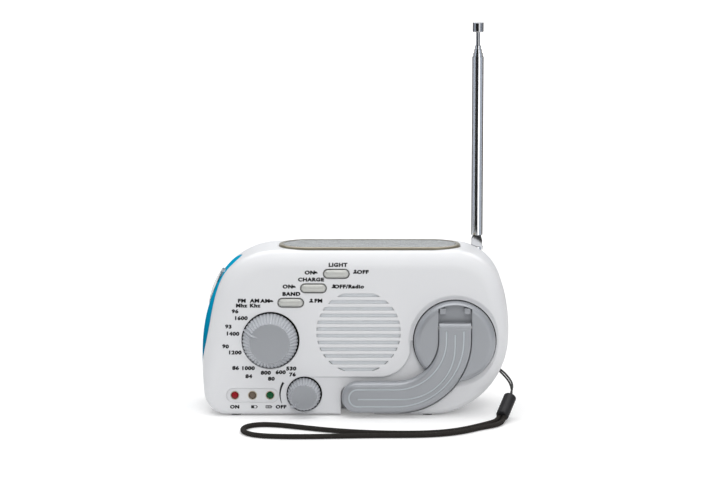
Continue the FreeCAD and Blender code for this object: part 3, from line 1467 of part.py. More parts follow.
def main():
    os.makedirs("parts", exist_ok=True)
    pieces = {
        "front_shell": front_shell(),
        "rear_shell": rear_shell(),
        "torch_insert": torch_insert(),
        "torch_lens": torch_lens(),
        "torch_reflector": torch_reflector(),
        "torch_led": torch_led(),
        "solar_bezel": solar_bezel(),
        "solar_cover": solar_cover(),
        "solar_panel": solar_panel(),
        "speaker_cloth": speaker_cloth(),
        "speaker_frame": speaker_frame(),
        "speaker_cone": speaker_cone(),
        "speaker_magnet": speaker_magnet(),
        "main_board": main_board(),
        "tuning_capacitor": tuning_capacitor(),
        "tuning_shaft": control_shaft(TUNING),
        "tuning_knob": knob_solid(TUNING),
        "volume_pot": volume_pot(),
        "volume_shaft": control_shaft(VOLUME),
        "volume_knob": knob_solid(VOLUME),
        "push_switches": push_switches(),
        "ferrite_rod": ferrite_rod(),
        "battery_pack": battery_pack(),
        "battery_contacts": battery_contacts(),
        "battery_door": battery_door(),
        "output_jack": output_jack(),
        "crank_disc": crank_disc(),
        "hinge_pin": hinge_rod(HINGE_PIN_R, HINGE_PIN_END),
        "crank_shaft": crank_shaft(),
        "drive_gear": drive_gear(),
        "crank_arm": crank_arm(),
        "crank_grip": crank_grip(),
        "gearbox_frame": gearbox_frame(),
        "gearbox_cover": gearbox_cover(),
        "idler_gear": idler_gear(),
        "generator_rotor": generator_rotor(),
        "generator_stator": generator_stator(),
        "housing_screws": housing_screws(),
        "gearbox_screws": gearbox_screws(),
        "board_screws": board_screws(),
        "antenna_base": antenna_base(),
        "antenna_clip": antenna_clip(),
        "antenna_rivet": antenna_rivet(),
        "antenna_rod": antenna_rod(),
        "feet": feet(),
    }
    for name, at in zip(BUTTON_NAMES, button_spots()):
        pieces[name + "_button"] = push_button(at)
    for name, at in zip(LAMP_NAMES, lamp_spots()):
        pieces["lamp_" + name] = indicator_lamp(at)
    for number in range(4):
        pieces["antenna_tube_%d" % (number + 1)] = antenna_tube(number)
    for name, shape in pieces.items():
        write(name, shape)
    write("strap_string", strap_string(), 0.0)
    write("strap_braid", strap_braid(), 0.0)
    write("strap_ferrule", strap_ferrule(), 0.0)
    print(len(pieces) + 3, "nodes")


main()
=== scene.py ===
"""Looks of a crank, solar and battery emergency radio with a torch in its left end.

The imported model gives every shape's place. The sections below follow the radio as it is put
together, and each holds its own sizes, colours, surfaces and finish. Lengths in tables are in
millimetres and are turned to metres where a mesh is made.
"""
import math

import bpy
import numpy as np
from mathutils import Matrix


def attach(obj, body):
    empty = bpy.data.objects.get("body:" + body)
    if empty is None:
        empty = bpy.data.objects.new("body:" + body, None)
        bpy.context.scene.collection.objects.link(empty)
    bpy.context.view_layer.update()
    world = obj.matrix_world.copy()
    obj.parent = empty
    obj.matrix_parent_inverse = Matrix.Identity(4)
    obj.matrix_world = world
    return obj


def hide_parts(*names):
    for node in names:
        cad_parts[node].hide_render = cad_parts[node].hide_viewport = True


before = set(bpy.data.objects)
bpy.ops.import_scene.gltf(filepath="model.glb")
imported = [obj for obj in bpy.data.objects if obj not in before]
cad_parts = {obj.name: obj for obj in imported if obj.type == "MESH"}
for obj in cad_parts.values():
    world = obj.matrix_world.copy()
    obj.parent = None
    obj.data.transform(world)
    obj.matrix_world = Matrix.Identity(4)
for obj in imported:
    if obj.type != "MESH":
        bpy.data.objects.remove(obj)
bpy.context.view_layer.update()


# ------------------------------------------------------------------ camera
# A long lens 1.37 m in front of the radio and a little above it, so that it looks down on the
# radio by 8.6 degrees.
view = bpy.data.cameras.new("camera")
view.lens = 138.2
view.clip_end = 50.0
camera = bpy.data.objects.new("camera", view)
camera.location = (0.0, -1.3847, 0.2976)
camera.rotation_euler = (math.radians(81.4), 0.0, 0.0)
bpy.context.scene.collection.objects.link(camera)
bpy.context.scene.camera = camera


# ------------------------------------------------------------------ wrist strap
# A round polyester braid folded into one loop, its two ends moulded into a soft plastic ferrule.
# From the ferrule's other end a thin string loops through the eyelet in the radio's side.
MM = 0.001
STRING_THICK = 1.0
STRING_ENDS = (
    ((78.736, -24.393, 11.377), (79.846, -21.738, 13.188)),
    ((80.175, -20.952, 11.833), (79.064, -23.607, 10.023)),
)
STRING_WAY = (
    (80.9, -14.5, 15.2), (80.0, -6.5, 16.6), (77.6, 1.5, 18.3), (74.9, 7.0, 19.7), (72.4, 9.35, 20.3),
    (69.8, 9.6, 20.3), (69.75, 12.2, 20.1), (72.6, 12.75, 19.6), (75.4, 8.0, 17.9),
    (78.8, -0.5, 15.5), (80.3, -9.0, 13.8),
)
BRAID_ENDS = (
    ((73.008, -34.46, 3.2), (72.074, -36.693, 1.677)),
    ((74.658, -37.774, 1.677), (75.592, -35.54, 3.2)),
)
BRAID_WAY = (
    (68.9, -40.6, 1.35), (63.5, -46.6, 1.35), (56.5, -54.0, 1.35), (47.0, -61.2, 1.35),
    (34.0, -65.1, 1.35), (18.0, -65.2, 1.35), (2.0, -62.9, 1.35), (-13.0, -58.3, 1.35),
    (-27.0, -51.6, 1.35), (-38.0, -46.3, 1.35), (-47.0, -44.6, 1.35), (-53.6, -48.2, 1.35),
    (-56.4, -56.0, 1.35), (-54.6, -64.3, 1.35), (-48.4, -70.3, 1.35), (-38.0, -72.6, 1.35),
    (-23.0, -72.9, 1.35), (-6.0, -71.4, 1.35), (11.0, -70.2, 1.35), (27.0, -70.1, 1.35),
    (41.0, -68.3, 1.35), (53.0, -62.4, 1.35), (62.5, -52.6, 1.35), (69.8, -47.2, 1.35),
    (73.2, -42.0, 1.35),
)


def linear(code):
    """An sRGB hex colour as linear red, green, blue and alpha."""
    c = np.array([int(code[i:i + 2], 16) for i in (0, 2, 4)]) / 255
    c = np.where(c <= 0.04045, c / 12.92, ((c + 0.055) / 1.055) ** 2.4)
    return (float(c[0]), float(c[1]), float(c[2]), 1.0)


def add(tree, kind, inputs=None, to=None, **settings):
    """Adds a node with its settings. An input given as a socket is linked and any other is set, and
    the node's output is linked to the socket given as to."""
    node = tree.nodes.new("ShaderNode" + kind)
    for name, value in settings.items():
        setattr(node, name, value)
    for name, value in (inputs or {}).items():
        if isinstance(value, bpy.types.NodeSocket):
            tree.links.new(value, node.inputs[name])
        else:
            node.inputs[name].default_value = value
    if to is not None:
        tree.links.new(next(output for output in node.outputs if output.enabled), to)
    return node


def blank(name, colour, roughness, **more):
    """A material with one shader whose own sockets hold what is the same all over it."""
    material = bpy.data.materials.new(name)
    material.use_nodes = True
    material.diffuse_color = linear(colour)
    tree = material.node_tree
    shader = tree.nodes["Principled BSDF"]
    shader.inputs["Base Color"].default_value = linear(colour)
    shader.inputs["Roughness"].default_value = roughness
    for socket, value in more.items():
        shader.inputs[socket.replace("_", " ")].default_value = value
    return material, tree, shader


def mottled(tree, shader, one, two, size):
    """The colour drifts between two tones over patches of that many millimetres."""
    place = add(tree, "TexCoord").outputs["Object"]
    patch = add(tree, "TexNoise", {"Vector": place, "Scale": 1 / (size * MM), "Detail": 3.0})
    add(tree, "Mix", {"Factor": patch.outputs["Fac"], "A": linear(one), "B": linear(two)},
        to=shader.inputs["Base Color"], data_type="RGBA")
    return place


def curve_route(name, points, thick, material):
    """A quadratic spline that starts and ends at its end points and cuts inside the others."""
    curve = bpy.data.curves.new(name, "CURVE")
    curve.dimensions = "3D"
    spline = curve.splines.new("NURBS")
    spline.points.add(len(points) - 1)
    where = np.c_[np.array(points) * MM, np.ones(len(points))]
    spline.points.foreach_set("co", where.ravel())
    spline.order_u = 3
    spline.use_endpoint_u = True
    spline.resolution_u = 24
    curve.bevel_depth = thick / 2 * MM
    curve.bevel_resolution = 4
    curve.use_fill_caps = thick > 0
    if material:
        curve.materials.append(material)
    thing = bpy.data.objects.new(name, curve)
    bpy.context.scene.collection.objects.link(thing)
    return thing


def along(curve_object):
    """The points that a bare spline passes through, in metres."""
    mesh = bpy.data.meshes.new_from_object(curve_object)
    where = np.zeros(len(mesh.vertices) * 3)
    mesh.vertices.foreach_get("co", where)
    bpy.data.meshes.remove(mesh)
    return where.reshape(-1, 3)


def travelled(points):
    """Distance along a row of points up to each of them."""
    return np.r_[0.0, np.cumsum(np.linalg.norm(np.diff(points, axis=0), axis=1))]


def skin(name, grid, material, body, shut=(True, True), ring=True, uv=None, crease=40.0):
    """A mesh over rows and columns of points. ring joins the last column to the first, and shut closes
    the first and the last row with a fan to the middle of that row. uv is one pair for each point
    plus, on a ring, one more column for the seam."""
    rows, cols = grid.shape[:2]
    number = np.arange(rows * cols).reshape(rows, cols)
    right = np.roll(number, -1, axis=1) if ring else number[:, 1:]
    left = number if ring else number[:, :-1]
    quads = np.stack([left[:-1], right[:-1], right[1:], left[1:]], -1).reshape(-1, 4)
    where = grid.reshape(-1, 3)
    fans = []
    for row, closed in ((0, shut[0]), (rows - 1, shut[1])):
        if closed:
            where = np.vstack([where, grid[row].mean(axis=0)])
            hub = np.full(right.shape[1], len(where) - 1)
            edge = (right[row], left[row]) if row == 0 else (left[row], right[row])
            fans.append(np.stack([edge[0], edge[1], hub], -1))
    faces = quads.tolist() + [face for fan in fans for face in fan.tolist()]
    mesh = bpy.data.meshes.new(name)
    mesh.from_pydata(where.tolist(), [], faces)
    if uv is not None:
        after = uv[:, 1:]
        before = uv[:, :-1]
        corners = np.stack([before[:-1], after[:-1], after[1:], before[1:]], -2).reshape(-1, 2)
        spare = np.zeros((len(mesh.loops) - len(corners), 2))
        mesh.uv_layers.new(name="lay").data.foreach_set("uv", np.vstack([corners, spare]).ravel())
    mesh.polygons.foreach_set("use_smooth", np.ones(len(mesh.polygons), bool))
    mesh.set_sharp_from_angle(angle=math.radians(crease))
    mesh.materials.append(material)
    thing = bpy.data.objects.new(name, mesh)
    bpy.context.scene.collection.objects.link(thing)
    if body:
        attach(thing, body)
    return thing


# Polyester yarn, dyed black-brown: matt, its colour broken by filaments drawn 0.2 mm wide, which is
# coarser than they are.
yarn, tree, shader = blank("braided_polyester", "464342", 0.85, Specular_IOR_Level=0.2)
lay = add(tree, "UVMap", uv_map="lay").outputs["UV"]
strand = add(tree, "TexWave", {"Vector": lay, "Scale": 1.6, "Distortion": 0.6}, bands_direction="DIAGONAL")
add(tree, "Mix", {"Factor": strand.outputs["Fac"], "A": linear("0c0a09"), "B": linear("3a3633")},
    to=shader.inputs["Base Color"], data_type="RGBA")
add(tree, "Bump", {"Height": strand.outputs["Fac"], "Strength": 0.5, "Distance": 0.08 * MM},
    to=shader.inputs["Normal"])

# Twisted nylon string: the same colour, a little shinier. Its twist shows only as a bump every
# 0.7 mm.
twine, tree, shader = blank("twisted_nylon", "1d1b1a", 0.7)
place = add(tree, "TexCoord").outputs["Object"]
twist = add(tree, "TexWave", {"Vector": place, "Scale": 420.0, "Distortion": 1.0}, bands_direction="DIAGONAL")
add(tree, "Bump", {"Height": twist.outputs["Fac"], "Strength": 0.6, "Distance": 0.06 * MM},
    to=shader.inputs["Normal"])

BRAID_R = 1.3
BRAID_YARNS = 8  # each way round
BRAID_PITCH = 9.0  # one yarn's full turn, along the braid
BRAID_RELIEF = 0.15  # a hollow's depth, as a share of the radius
BRAID_OVER = 0.35  # how far one family rises over the other where they cross
BRAID_STEP = 0.24  # from ring to ring of the skin
BRAID_ROUND = 32  # points in a ring


def braided(line):
    """A tube round a line. Two families of yarns wind opposite ways, and at each place the higher of
    the two crests, each a rounded wave of turn plus or minus travel, sets how far the skin stands out."""
    far = travelled(line)
    step = np.linspace(0.0, far[-1], int(far[-1] / (BRAID_STEP * MM)))
    middle = np.stack([np.interp(step, far, line[:, k]) for k in range(3)], -1)
    ahead = np.gradient(middle, axis=0)
    ahead /= np.linalg.norm(ahead, axis=1, keepdims=True)
    side = np.cross(ahead, (0.0, 0.0, 1.0))
    side /= np.linalg.norm(side, axis=1, keepdims=True)
    over = np.cross(side, ahead)
    turn = np.linspace(0.0, 2 * math.pi, BRAID_ROUND, endpoint=False)
    wound = 2 * math.pi * step / (BRAID_PITCH * MM)
    one = np.cos(BRAID_YARNS * (turn[None] + wound[:, None]))
    two = np.cos(BRAID_YARNS * (turn[None] - wound[:, None]))
    swap = np.cos(BRAID_YARNS * wound)[:, None] * np.cos(BRAID_YARNS * turn)[None]
    crest = np.maximum(one + BRAID_OVER * swap, two - BRAID_OVER * swap)
    reach = BRAID_R * MM * (1.0 - BRAID_RELIEF * (1.0 + BRAID_OVER - crest) / (2.0 + BRAID_OVER))
    grid = (middle[:, None] + reach[..., None] * (
        np.cos(turn)[None, :, None] * side[:, None] + np.sin(turn)[None, :, None] * over[:, None]))
    around = np.linspace(0.0, 2 * math.pi * BRAID_R, BRAID_ROUND + 1)
    uv = np.stack(np.broadcast_arrays(around[None], step[:, None] / MM), -1)
    return grid, uv


string = curve_route("strap_string_loop", STRING_ENDS[0] + STRING_WAY + STRING_ENDS[1], STRING_THICK, twine)
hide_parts("strap_string")
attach(string, "housing")

bare = curve_route("braid_line", BRAID_ENDS[0] + BRAID_WAY + BRAID_ENDS[1], 0.0, None)
braid_line = along(bare)
bpy.data.objects.remove(bare)
grid, uv = braided(braid_line)
braid = skin("strap_braid_loop", grid, yarn, "housing", uv=uv, crease=180.0)
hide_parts("strap_braid")


def dress(material, *names):
    """Gives CAD nodes their finish."""
    for name in names:
        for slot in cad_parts[name].material_slots:
            slot.material = material


# Soft vinyl, injected over the knotted cord ends: satin black with a faint flow mottle.
vinyl, tree, shader = blank("moulded_vinyl", "19181b", 0.55, Specular_IOR_Level=0.3)
place = mottled(tree, shader, "171619", "1c1b1e", 3.0)
grain = add(tree, "TexNoise", {"Vector": place, "Scale": 3500.0, "Detail": 2.0})
add(tree, "Bump", {"Height": grain.outputs["Fac"], "Strength": 0.25, "Distance": 0.04 * MM},
    to=shader.inputs["Normal"])
dress(vinyl, "strap_ferrule")


# ------------------------------------------------------------------ housing
# Two ABS half shells, injection moulded, then sprayed a pale satin silver-grey and screwed
# together from the back. The joint line runs round the sides near the back.
PATCH = 24.0  # over which a tone or a gloss drifts
GLOSS_DRIFT = 0.04  # either way of a plastic's roughness


def grained(tree, shader, place, roughness, grain, patch=PATCH, soft=0.0):
    """The skin of a plastic: a spark-eroded grain of that many millimetres, a gloss that drifts over
    less than half a patch, and edges that look broken by soft millimetres."""
    pore = add(tree, "TexNoise", {"Vector": place, "Scale": 1 / (grain * MM), "Detail": 2.0})
    bump = add(tree, "Bump", {"Height": pore.outputs["Fac"], "Strength": 0.3, "Distance": 0.03 * MM},
               to=shader.inputs["Normal"])
    if soft:
        add(tree, "Bevel", {"Radius": soft * MM}, to=bump.inputs["Normal"], samples=6)
    sheen = add(tree, "TexNoise", {"Vector": place, "Scale": 1 / (patch * 0.4 * MM), "Detail": 4.0})
    add(tree, "MapRange", {"Value": sheen.outputs["Fac"], "To Min": roughness - GLOSS_DRIFT,
                           "To Max": roughness + GLOSS_DRIFT}, to=shader.inputs["Roughness"])


def moulded(name, tones, roughness, grain, patch=PATCH, soft=0.0, **more):
    """A moulded or sprayed plastic: two near tones under that skin."""
    material, tree, shader = blank(name, tones[0], roughness, **more)
    place = mottled(tree, shader, tones[0], tones[1], patch)
    grained(tree, shader, place, roughness, grain, patch, soft)
    return material


# Satin silver-grey lacquer on ABS: pale, faintly cool, with soft wide highlights on the roundings.
lacquer = moulded("satin_lacquer_on_abs", ("dddee1", "e0e1e3"), 0.40, 0.3, soft=0.8)
dress(lacquer, "front_shell", "rear_shell", "battery_door")

# Black thermoplastic rubber: matt, slightly dusty.
rubber = moulded("thermoplastic_rubber", ("3b3b3c", "414142"), 0.82, 0.5)
dress(rubber, "feet")

# Zinc-plated steel, turned and rolled: bright, with faint patches a little over a millimetre wide.
zinc, tree, shader = blank("zinc_plated_steel", "b9bbbd", 0.32, Metallic=1.0)
mottled(tree, shader, "b4b6b8", "c2c2be", 1.2)
dress(zinc, "housing_screws", "board_screws", "gearbox_screws", "hinge_pin", "antenna_clip")


# ------------------------------------------------------------------ solar window
# A bezel in bronze-silver paint frames a clear acrylic window. Under it lie amorphous silicon
# cells on a board, a dark olive band between thin silver lines.
bezel = moulded("silver_paint_on_abs", ("7d7868", "867f6e"), 0.30, 0.3, Metallic=0.4)
dress(bezel, "solar_bezel")

# Cast acrylic: clear and polished, a trace green, with a ripple 6 mm long.
acrylic, tree, shader = blank("clear_acrylic", "eef2f0", 0.03, IOR=1.49, Transmission_Weight=1.0)
place = add(tree, "TexCoord").outputs["Object"]
ripple = add(tree, "TexNoise", {"Vector": place, "Scale": 160.0, "Detail": 1.0})
add(tree, "Bump", {"Height": ripple.outputs["Fac"], "Strength": 0.08, "Distance": 0.2 * MM},
    to=shader.inputs["Normal"])
dress(acrylic, "solar_cover")

# Amorphous silicon under resin: near-black olive cells, divided by silver print. They are painted paler
# towards the back, a painted reflection of the room in the window, which is seen at its flattest there.
CELL_WIDE = 11.2
PRINT_HALF = 0.4
PANEL_HALF = 12.0
cells, tree, shader = blank("amorphous_silicon", "22231f", 0.5)
place = add(tree, "TexCoord").outputs["Object"]
apart = add(tree, "SeparateXYZ", {"Vector": place})
cell = add(tree, "Math", {0: apart.outputs["X"], 1: CELL_WIDE * MM}, operation="MODULO")
bar = add(tree, "Math", {0: cell.outputs[0], 1: 0.0, 2: PRINT_HALF * MM}, operation="COMPARE")
back = add(tree, "MapRange", {"Value": apart.outputs["Y"], "From Min": -PANEL_HALF * MM,
                              "From Max": PANEL_HALF * MM})
tone = add(tree, "Mix", {"Factor": bar.outputs[0], "B": linear("77756a")},
           to=shader.inputs["Base Color"], data_type="RGBA")
add(tree, "Mix", {"Factor": back.outputs[0], "A": linear("1d1e1a"), "B": linear("5a5c5c")},
    to=tone.inputs["A"], data_type="RGBA")
dress(cells, "solar_panel")


# ------------------------------------------------------------------ torch
# A blue insert fills the left end. It holds a clear domed lens, with a vacuum-plated bowl and a
# white LED on its small board behind.

# Tinted polycarbonate: satin. It is painted paler towards its top, painted light where the overhead lamp
# falls on it.
blue, tree, shader = blank("blue_polycarbonate", "0a98c0", 0.45, Specular_IOR_Level=0.0)
place = add(tree, "TexCoord").outputs["Object"]
apart = add(tree, "SeparateXYZ", {"Vector": place})
up = add(tree, "MapRange", {"Value": apart.outputs["Z"], "From Min": 0.03, "From Max": 0.075})
add(tree, "Mix", {"Factor": up.outputs["Result"], "A": linear("06769a"), "B": linear("0ba2cc")},
    to=shader.inputs["Base Color"], data_type="RGBA")
dress(blue, "torch_insert")
dress(acrylic, "torch_lens")

# Vacuum-plated ABS: a mirror with a faint orange peel, a wave to each millimetre.
plated, tree, shader = blank("vacuum_plated_abs", "e6e6e8", 0.09, Metallic=1.0)
place = add(tree, "TexCoord").outputs["Object"]
peel = add(tree, "TexNoise", {"Vector": place, "Scale": 900.0, "Detail": 2.0})
add(tree, "Bump", {"Height": peel.outputs["Fac"], "Strength": 0.15, "Distance": 0.1 * MM},
    to=shader.inputs["Normal"])
dress(plated, "torch_reflector")

# Clear epoxy over a yellow phosphor.
epoxy = moulded("clear_epoxy_led", ("e9e4c4", "efe9c0"), 0.12, 1.0, Coat_Weight=1.0)
dress(epoxy, "torch_led")


# ------------------------------------------------------------------ loudspeaker
# A 42 mm loudspeaker is clamped behind the slotted grille, with a pale grey dust cloth between.
# Its basket is pressed steel, its cone paper and its magnet ferrite.

# Woven polyester: matt, with threads 0.6 mm apart.
cloth, tree, shader = blank("woven_dust_cloth", "e4e6e8", 0.9)
place = add(tree, "TexCoord").outputs["Object"]
warp = add(tree, "TexWave", {"Vector": place, "Scale": 500.0}, bands_direction="X")
weft = add(tree, "TexWave", {"Vector": place, "Scale": 500.0}, bands_direction="Z")
weave = add(tree, "Math", {0: warp.outputs["Fac"], 1: weft.outputs["Fac"]}, operation="MAXIMUM")
add(tree, "Mix", {"Factor": weave.outputs[0], "A": linear("c6cbd0"), "B": linear("dfe2e5")},
    to=shader.inputs["Base Color"], data_type="RGBA")
add(tree, "Bump", {"Height": weave.outputs[0], "Strength": 0.4, "Distance": 0.06 * MM},
    to=shader.inputs["Normal"])
dress(cloth, "speaker_cloth")

dress(zinc, "speaker_frame")

# Pressed paper is matt and fibrous, sintered ferrite dark and finely pitted.
paper = moulded("pressed_paper", ("2a2a2c", "343436"), 0.88, 0.6, patch=5.0)
dress(paper, "speaker_cone")
ferrite = moulded("sintered_ferrite", ("39383a", "434244"), 0.62, 0.4, patch=4.0)
dress(ferrite, "speaker_magnet", "ferrite_rod")


# ------------------------------------------------------------------ tuning and volume knobs
# Each knob is an ABS cap sprayed satin silver-grey: a flat face, a conical skirt with moulded
# finger ribs, and a sharp wedge that points at the dial. Each is pressed onto a plain shaft.
FACE_Y = -20.0  # the front's flat face
TUNING_AT = (-43.3, 39.2)
VOLUME_AT = (-26.1, 11.4)
KNOB_TALL = 8.0  # from the front's face to the knob's
KNOB_BACK = -2.1
KNOB_EDGE = 0.55  # rounding round the knob's face
KNOB_HUB = 0.4  # the innermost ring, which a fan closes
RIB_DEEP = 0.5
RIB_POINTS = 14  # from one rib to the next
WEDGE_HIGH = 1.0
WEDGE_HALF = 0.75
WEDGE_RISE = 3.0  # along which it rises from the face

# Satin paint with a little aluminium in it. The skirt and the rounding into it are painted paler than the
# face, painted light for the overhead lamp that the skirt catches.
KNOB_GLOSS = 0.34
knob_paint, tree, shader = blank("satin_silver_grey_paint", "9fa2a7", KNOB_GLOSS, Metallic=0.35)
lay = add(tree, "SeparateXYZ", {"Vector": add(tree, "UVMap", uv_map="lay").outputs["UV"]})
add(tree, "Mix", {"Factor": lay.outputs["Y"], "A": linear("9fa2a7"), "B": linear("c2c5ca")},
    to=shader.inputs["Base Color"], data_type="RGBA")
grained(tree, shader, add(tree, "TexCoord").outputs["Object"], KNOB_GLOSS, 0.3)


def knob(name, at, foot_r, top_r, ribs, point_deg, point_from, body):
    """An outline from the middle of the face to the middle of the back, carried round an axis along Y.
    The skirt's radius falls from each round rib into a narrow trough, by one less the size of the
    cosine of half the rib's turn, times the share of relief at that point of the outline. Near the
    pointer's bearing the skin is lifted along the outline's normal by a ridge that narrows to its
    crest and dies away towards the middle of the face."""
    rim = top_r - KNOB_EDGE
    sweep = np.linspace(0.0, math.pi / 2, 5)
    flat = np.array([KNOB_HUB, point_from - 0.4, point_from, point_from + 0.7, point_from + 1.5,
                     0.5 * (point_from + top_r) + 0.6, rim - 0.3])
    down = np.linspace(0.0, 1.0, 15)[1:]
    radius = np.r_[flat, rim + KNOB_EDGE * np.sin(sweep), top_r + (foot_r - top_r) * down,
                   foot_r - 0.25, KNOB_HUB]
    brow = KNOB_TALL - KNOB_EDGE
    height = np.r_[np.full(len(flat), KNOB_TALL), brow + KNOB_EDGE * np.cos(sweep),
                   brow * (1 - down) - 0.2 * down, KNOB_BACK, KNOB_BACK]
    relief = np.r_[np.zeros(len(flat)), np.linspace(0.0, 0.8, 5), np.ones(len(down)), 0.4, 0.0]
    lift = np.clip((radius - point_from) / WEDGE_RISE, 0.0, 1.0) * (height > -0.5)
    slope = np.unwrap(np.arctan2(-np.gradient(height), np.gradient(radius)))
    cols = ribs * RIB_POINTS
    point = math.radians(point_deg)
    turn = np.linspace(0.0, 2 * math.pi, cols, endpoint=False) + point
    trough = 1.0 - np.abs(np.cos(0.5 * ribs * (turn - point)))
    deep = RIB_DEEP * trough[None] * relief[:, None]
    off = np.abs((turn - point + math.pi) % (2 * math.pi) - math.pi)[None] * radius[:, None]
    ridge = WEDGE_HIGH * lift[:, None] * np.clip(1 - off / WEDGE_HALF, 0.0, 1.0)
    r = radius[:, None] - deep + ridge * np.sin(slope)[:, None]
    h = height[:, None] + ridge * np.cos(slope)[:, None]
    grid = np.stack([at[0] + r * np.cos(turn), FACE_Y - h, at[1] + r * np.sin(turn)], -1) * MM
    share = np.stack(np.broadcast_arrays(np.arange(cols + 1)[None] / cols, relief[:, None]), -1)
    thing = skin(name, grid, knob_paint, body, uv=share, crease=32.0)
    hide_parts(body + "_knob")


knob("tuning_cap", TUNING_AT, 14.2, 10.4, 46, 157.0, 5.6, "tuning")
knob("volume_cap", VOLUME_AT, 8.6, 6.7, 30, 223.0, 3.2, "volume")


RING_POINTS = 72


def turned_ring(name, at, outline, material, body):
    """A closed outline of (radius, height in front of the face) carried round an axis along Y."""
    outline = np.array(outline)
    turn = np.linspace(0.0, 2 * math.pi, RING_POINTS, endpoint=False)[:, None]
    r = outline[None, :, 0]
    h = np.broadcast_to(outline[None, :, 1], (RING_POINTS, len(outline)))
    grid = np.stack([at[0] + r * np.cos(turn), FACE_Y - h, at[1] + r * np.sin(turn)], -1) * MM
    grid = np.concatenate([grid, grid[:1]])
    skin(name, grid[:, ::-1], material, body, shut=(False, False))


# Matt black: flat rings of it lie deep in the gaps round the knobs and the crank's disc, a dark sheet that
# paints the shade in those gaps.
gap_shade_black = moulded("matt_black_painted_gap_shade", ("0d0c0b", "141210"), 0.95, 0.2)


def gap_shade_ring(name, at, inner_r, outer_r, back, front):
    """A flat dark ring of painted shade between two heights in front of the face."""
    turned_ring(name, at, [(inner_r, back), (inner_r, front), (outer_r, front), (outer_r, back)],
                gap_shade_black, "housing")


gap_shade_ring("tuning_gap_shade", (-43.03, 39.47), 12.4, 14.7, -2.38, -2.16)
gap_shade_ring("volume_gap_shade", (-25.9, 11.6), 7.2, 9.05, -2.38, -2.16)

# Black ABS as moulded, for what sits behind the knobs, the buttons and the socket.
black = moulded("black_abs", ("1d1d1f", "232325"), 0.5, 0.4)
dress(black, "tuning_capacitor", "volume_pot", "push_switches", "output_jack")
dress(zinc, "tuning_shaft", "volume_shaft")


# ------------------------------------------------------------------ printing on the face
# Bold lettering, pad printed round the tuning knob, beside the buttons and under the lamps.
# Each print is a film that lies on the lacquer and follows the front's roundings.
INK = 0.03  # the film's thickness before and behind the lacquer's skin
CAP = 0.682  # height of a capital letter in the typeface's own units
BOLD = 0.045  # how far its outline is moved out, in the same units
APART = 1.15  # spacing of the letters, where 1 is the typeface's own
STRIKE = np.array([0.08, 0.05])  # each word is struck twice, this far either way of its place
SMALL = 1.8  # height of the capitals along the foot of the front

# Black epoxy ink: dense, and satin where it dried on the pad.
ink, tree, shader = blank("pad_printed_ink", "17171a", 0.5)
mottled(tree, shader, "141417", "1f1f23", 0.8)


def lettering(words, x, z, tall=1.95, wide=1.2):
    """Words struck twice, as flat points and triangles, tall millimetres high and centred on (x, z)."""
    face = bpy.data.curves.new("words", "FONT")
    face.body = words
    face.offset = BOLD
    face.resolution_u = 4
    face.space_character = APART
    holder = bpy.data.objects.new("words", face)
    mesh = bpy.data.meshes.new_from_object(holder)
    where = np.zeros(len(mesh.vertices) * 3)
    mesh.vertices.foreach_get("co", where)
    where = where.reshape(-1, 3)[:, :2]
    mesh.calc_loop_triangles()
    corners = np.zeros(len(mesh.loop_triangles) * 3, np.int32)
    mesh.loop_triangles.foreach_get("vertices", corners)
    bpy.data.objects.remove(holder)
    bpy.data.meshes.remove(mesh)
    size = tall / (CAP + 2 * BOLD)
    middle = (where[:, 0].min() + where[:, 0].max()) / 2
    flat = np.c_[(where[:, 0] - middle) * size * wide + x, (where[:, 1] - CAP / 2) * size + z]
    corners = corners.reshape(-1, 3)
    return np.vstack([flat - STRIKE, flat + STRIKE]), np.vstack([corners, corners + len(flat)])


def outline_mark(points, x, z):
    """A closed convex outline about (x, z), filled from its first point."""
    flat = np.array(points, float) + (x, z)
    n = np.arange(1, len(flat) - 1)
    return flat, np.stack([np.zeros_like(n), n, n + 1], -1)


def dome(x, z, wide, tall, waist=0.0):
    """The upper half of an ellipse on a flat foot, as seen when a button's cap is in."""
    turn = np.linspace(0.0, math.pi, 13)
    arc = np.c_[wide / 2 * np.cos(turn), waist + tall * np.sin(turn)]
    return outline_mark(arc, x, z)


def bar_mark(x, z, wide, tall):
    """An upright rectangle about (x, z)."""
    a, b = wide / 2, tall / 2
    return outline_mark([(-a, -b), (a, -b), (a, b), (-a, b)], x, z)


def band_mark(inner, outer):
    """The strip between two rows of points of one length."""
    n = len(inner)
    k = np.arange(n - 1)
    one = np.stack([k, k + n, k + n + 1], -1)
    two = np.stack([k, k + n + 1, k + 1], -1)
    return np.vstack([inner, outer]), np.vstack([one, two])


CLEAR_OF_FACE = 5.0  # from which the marks are dropped


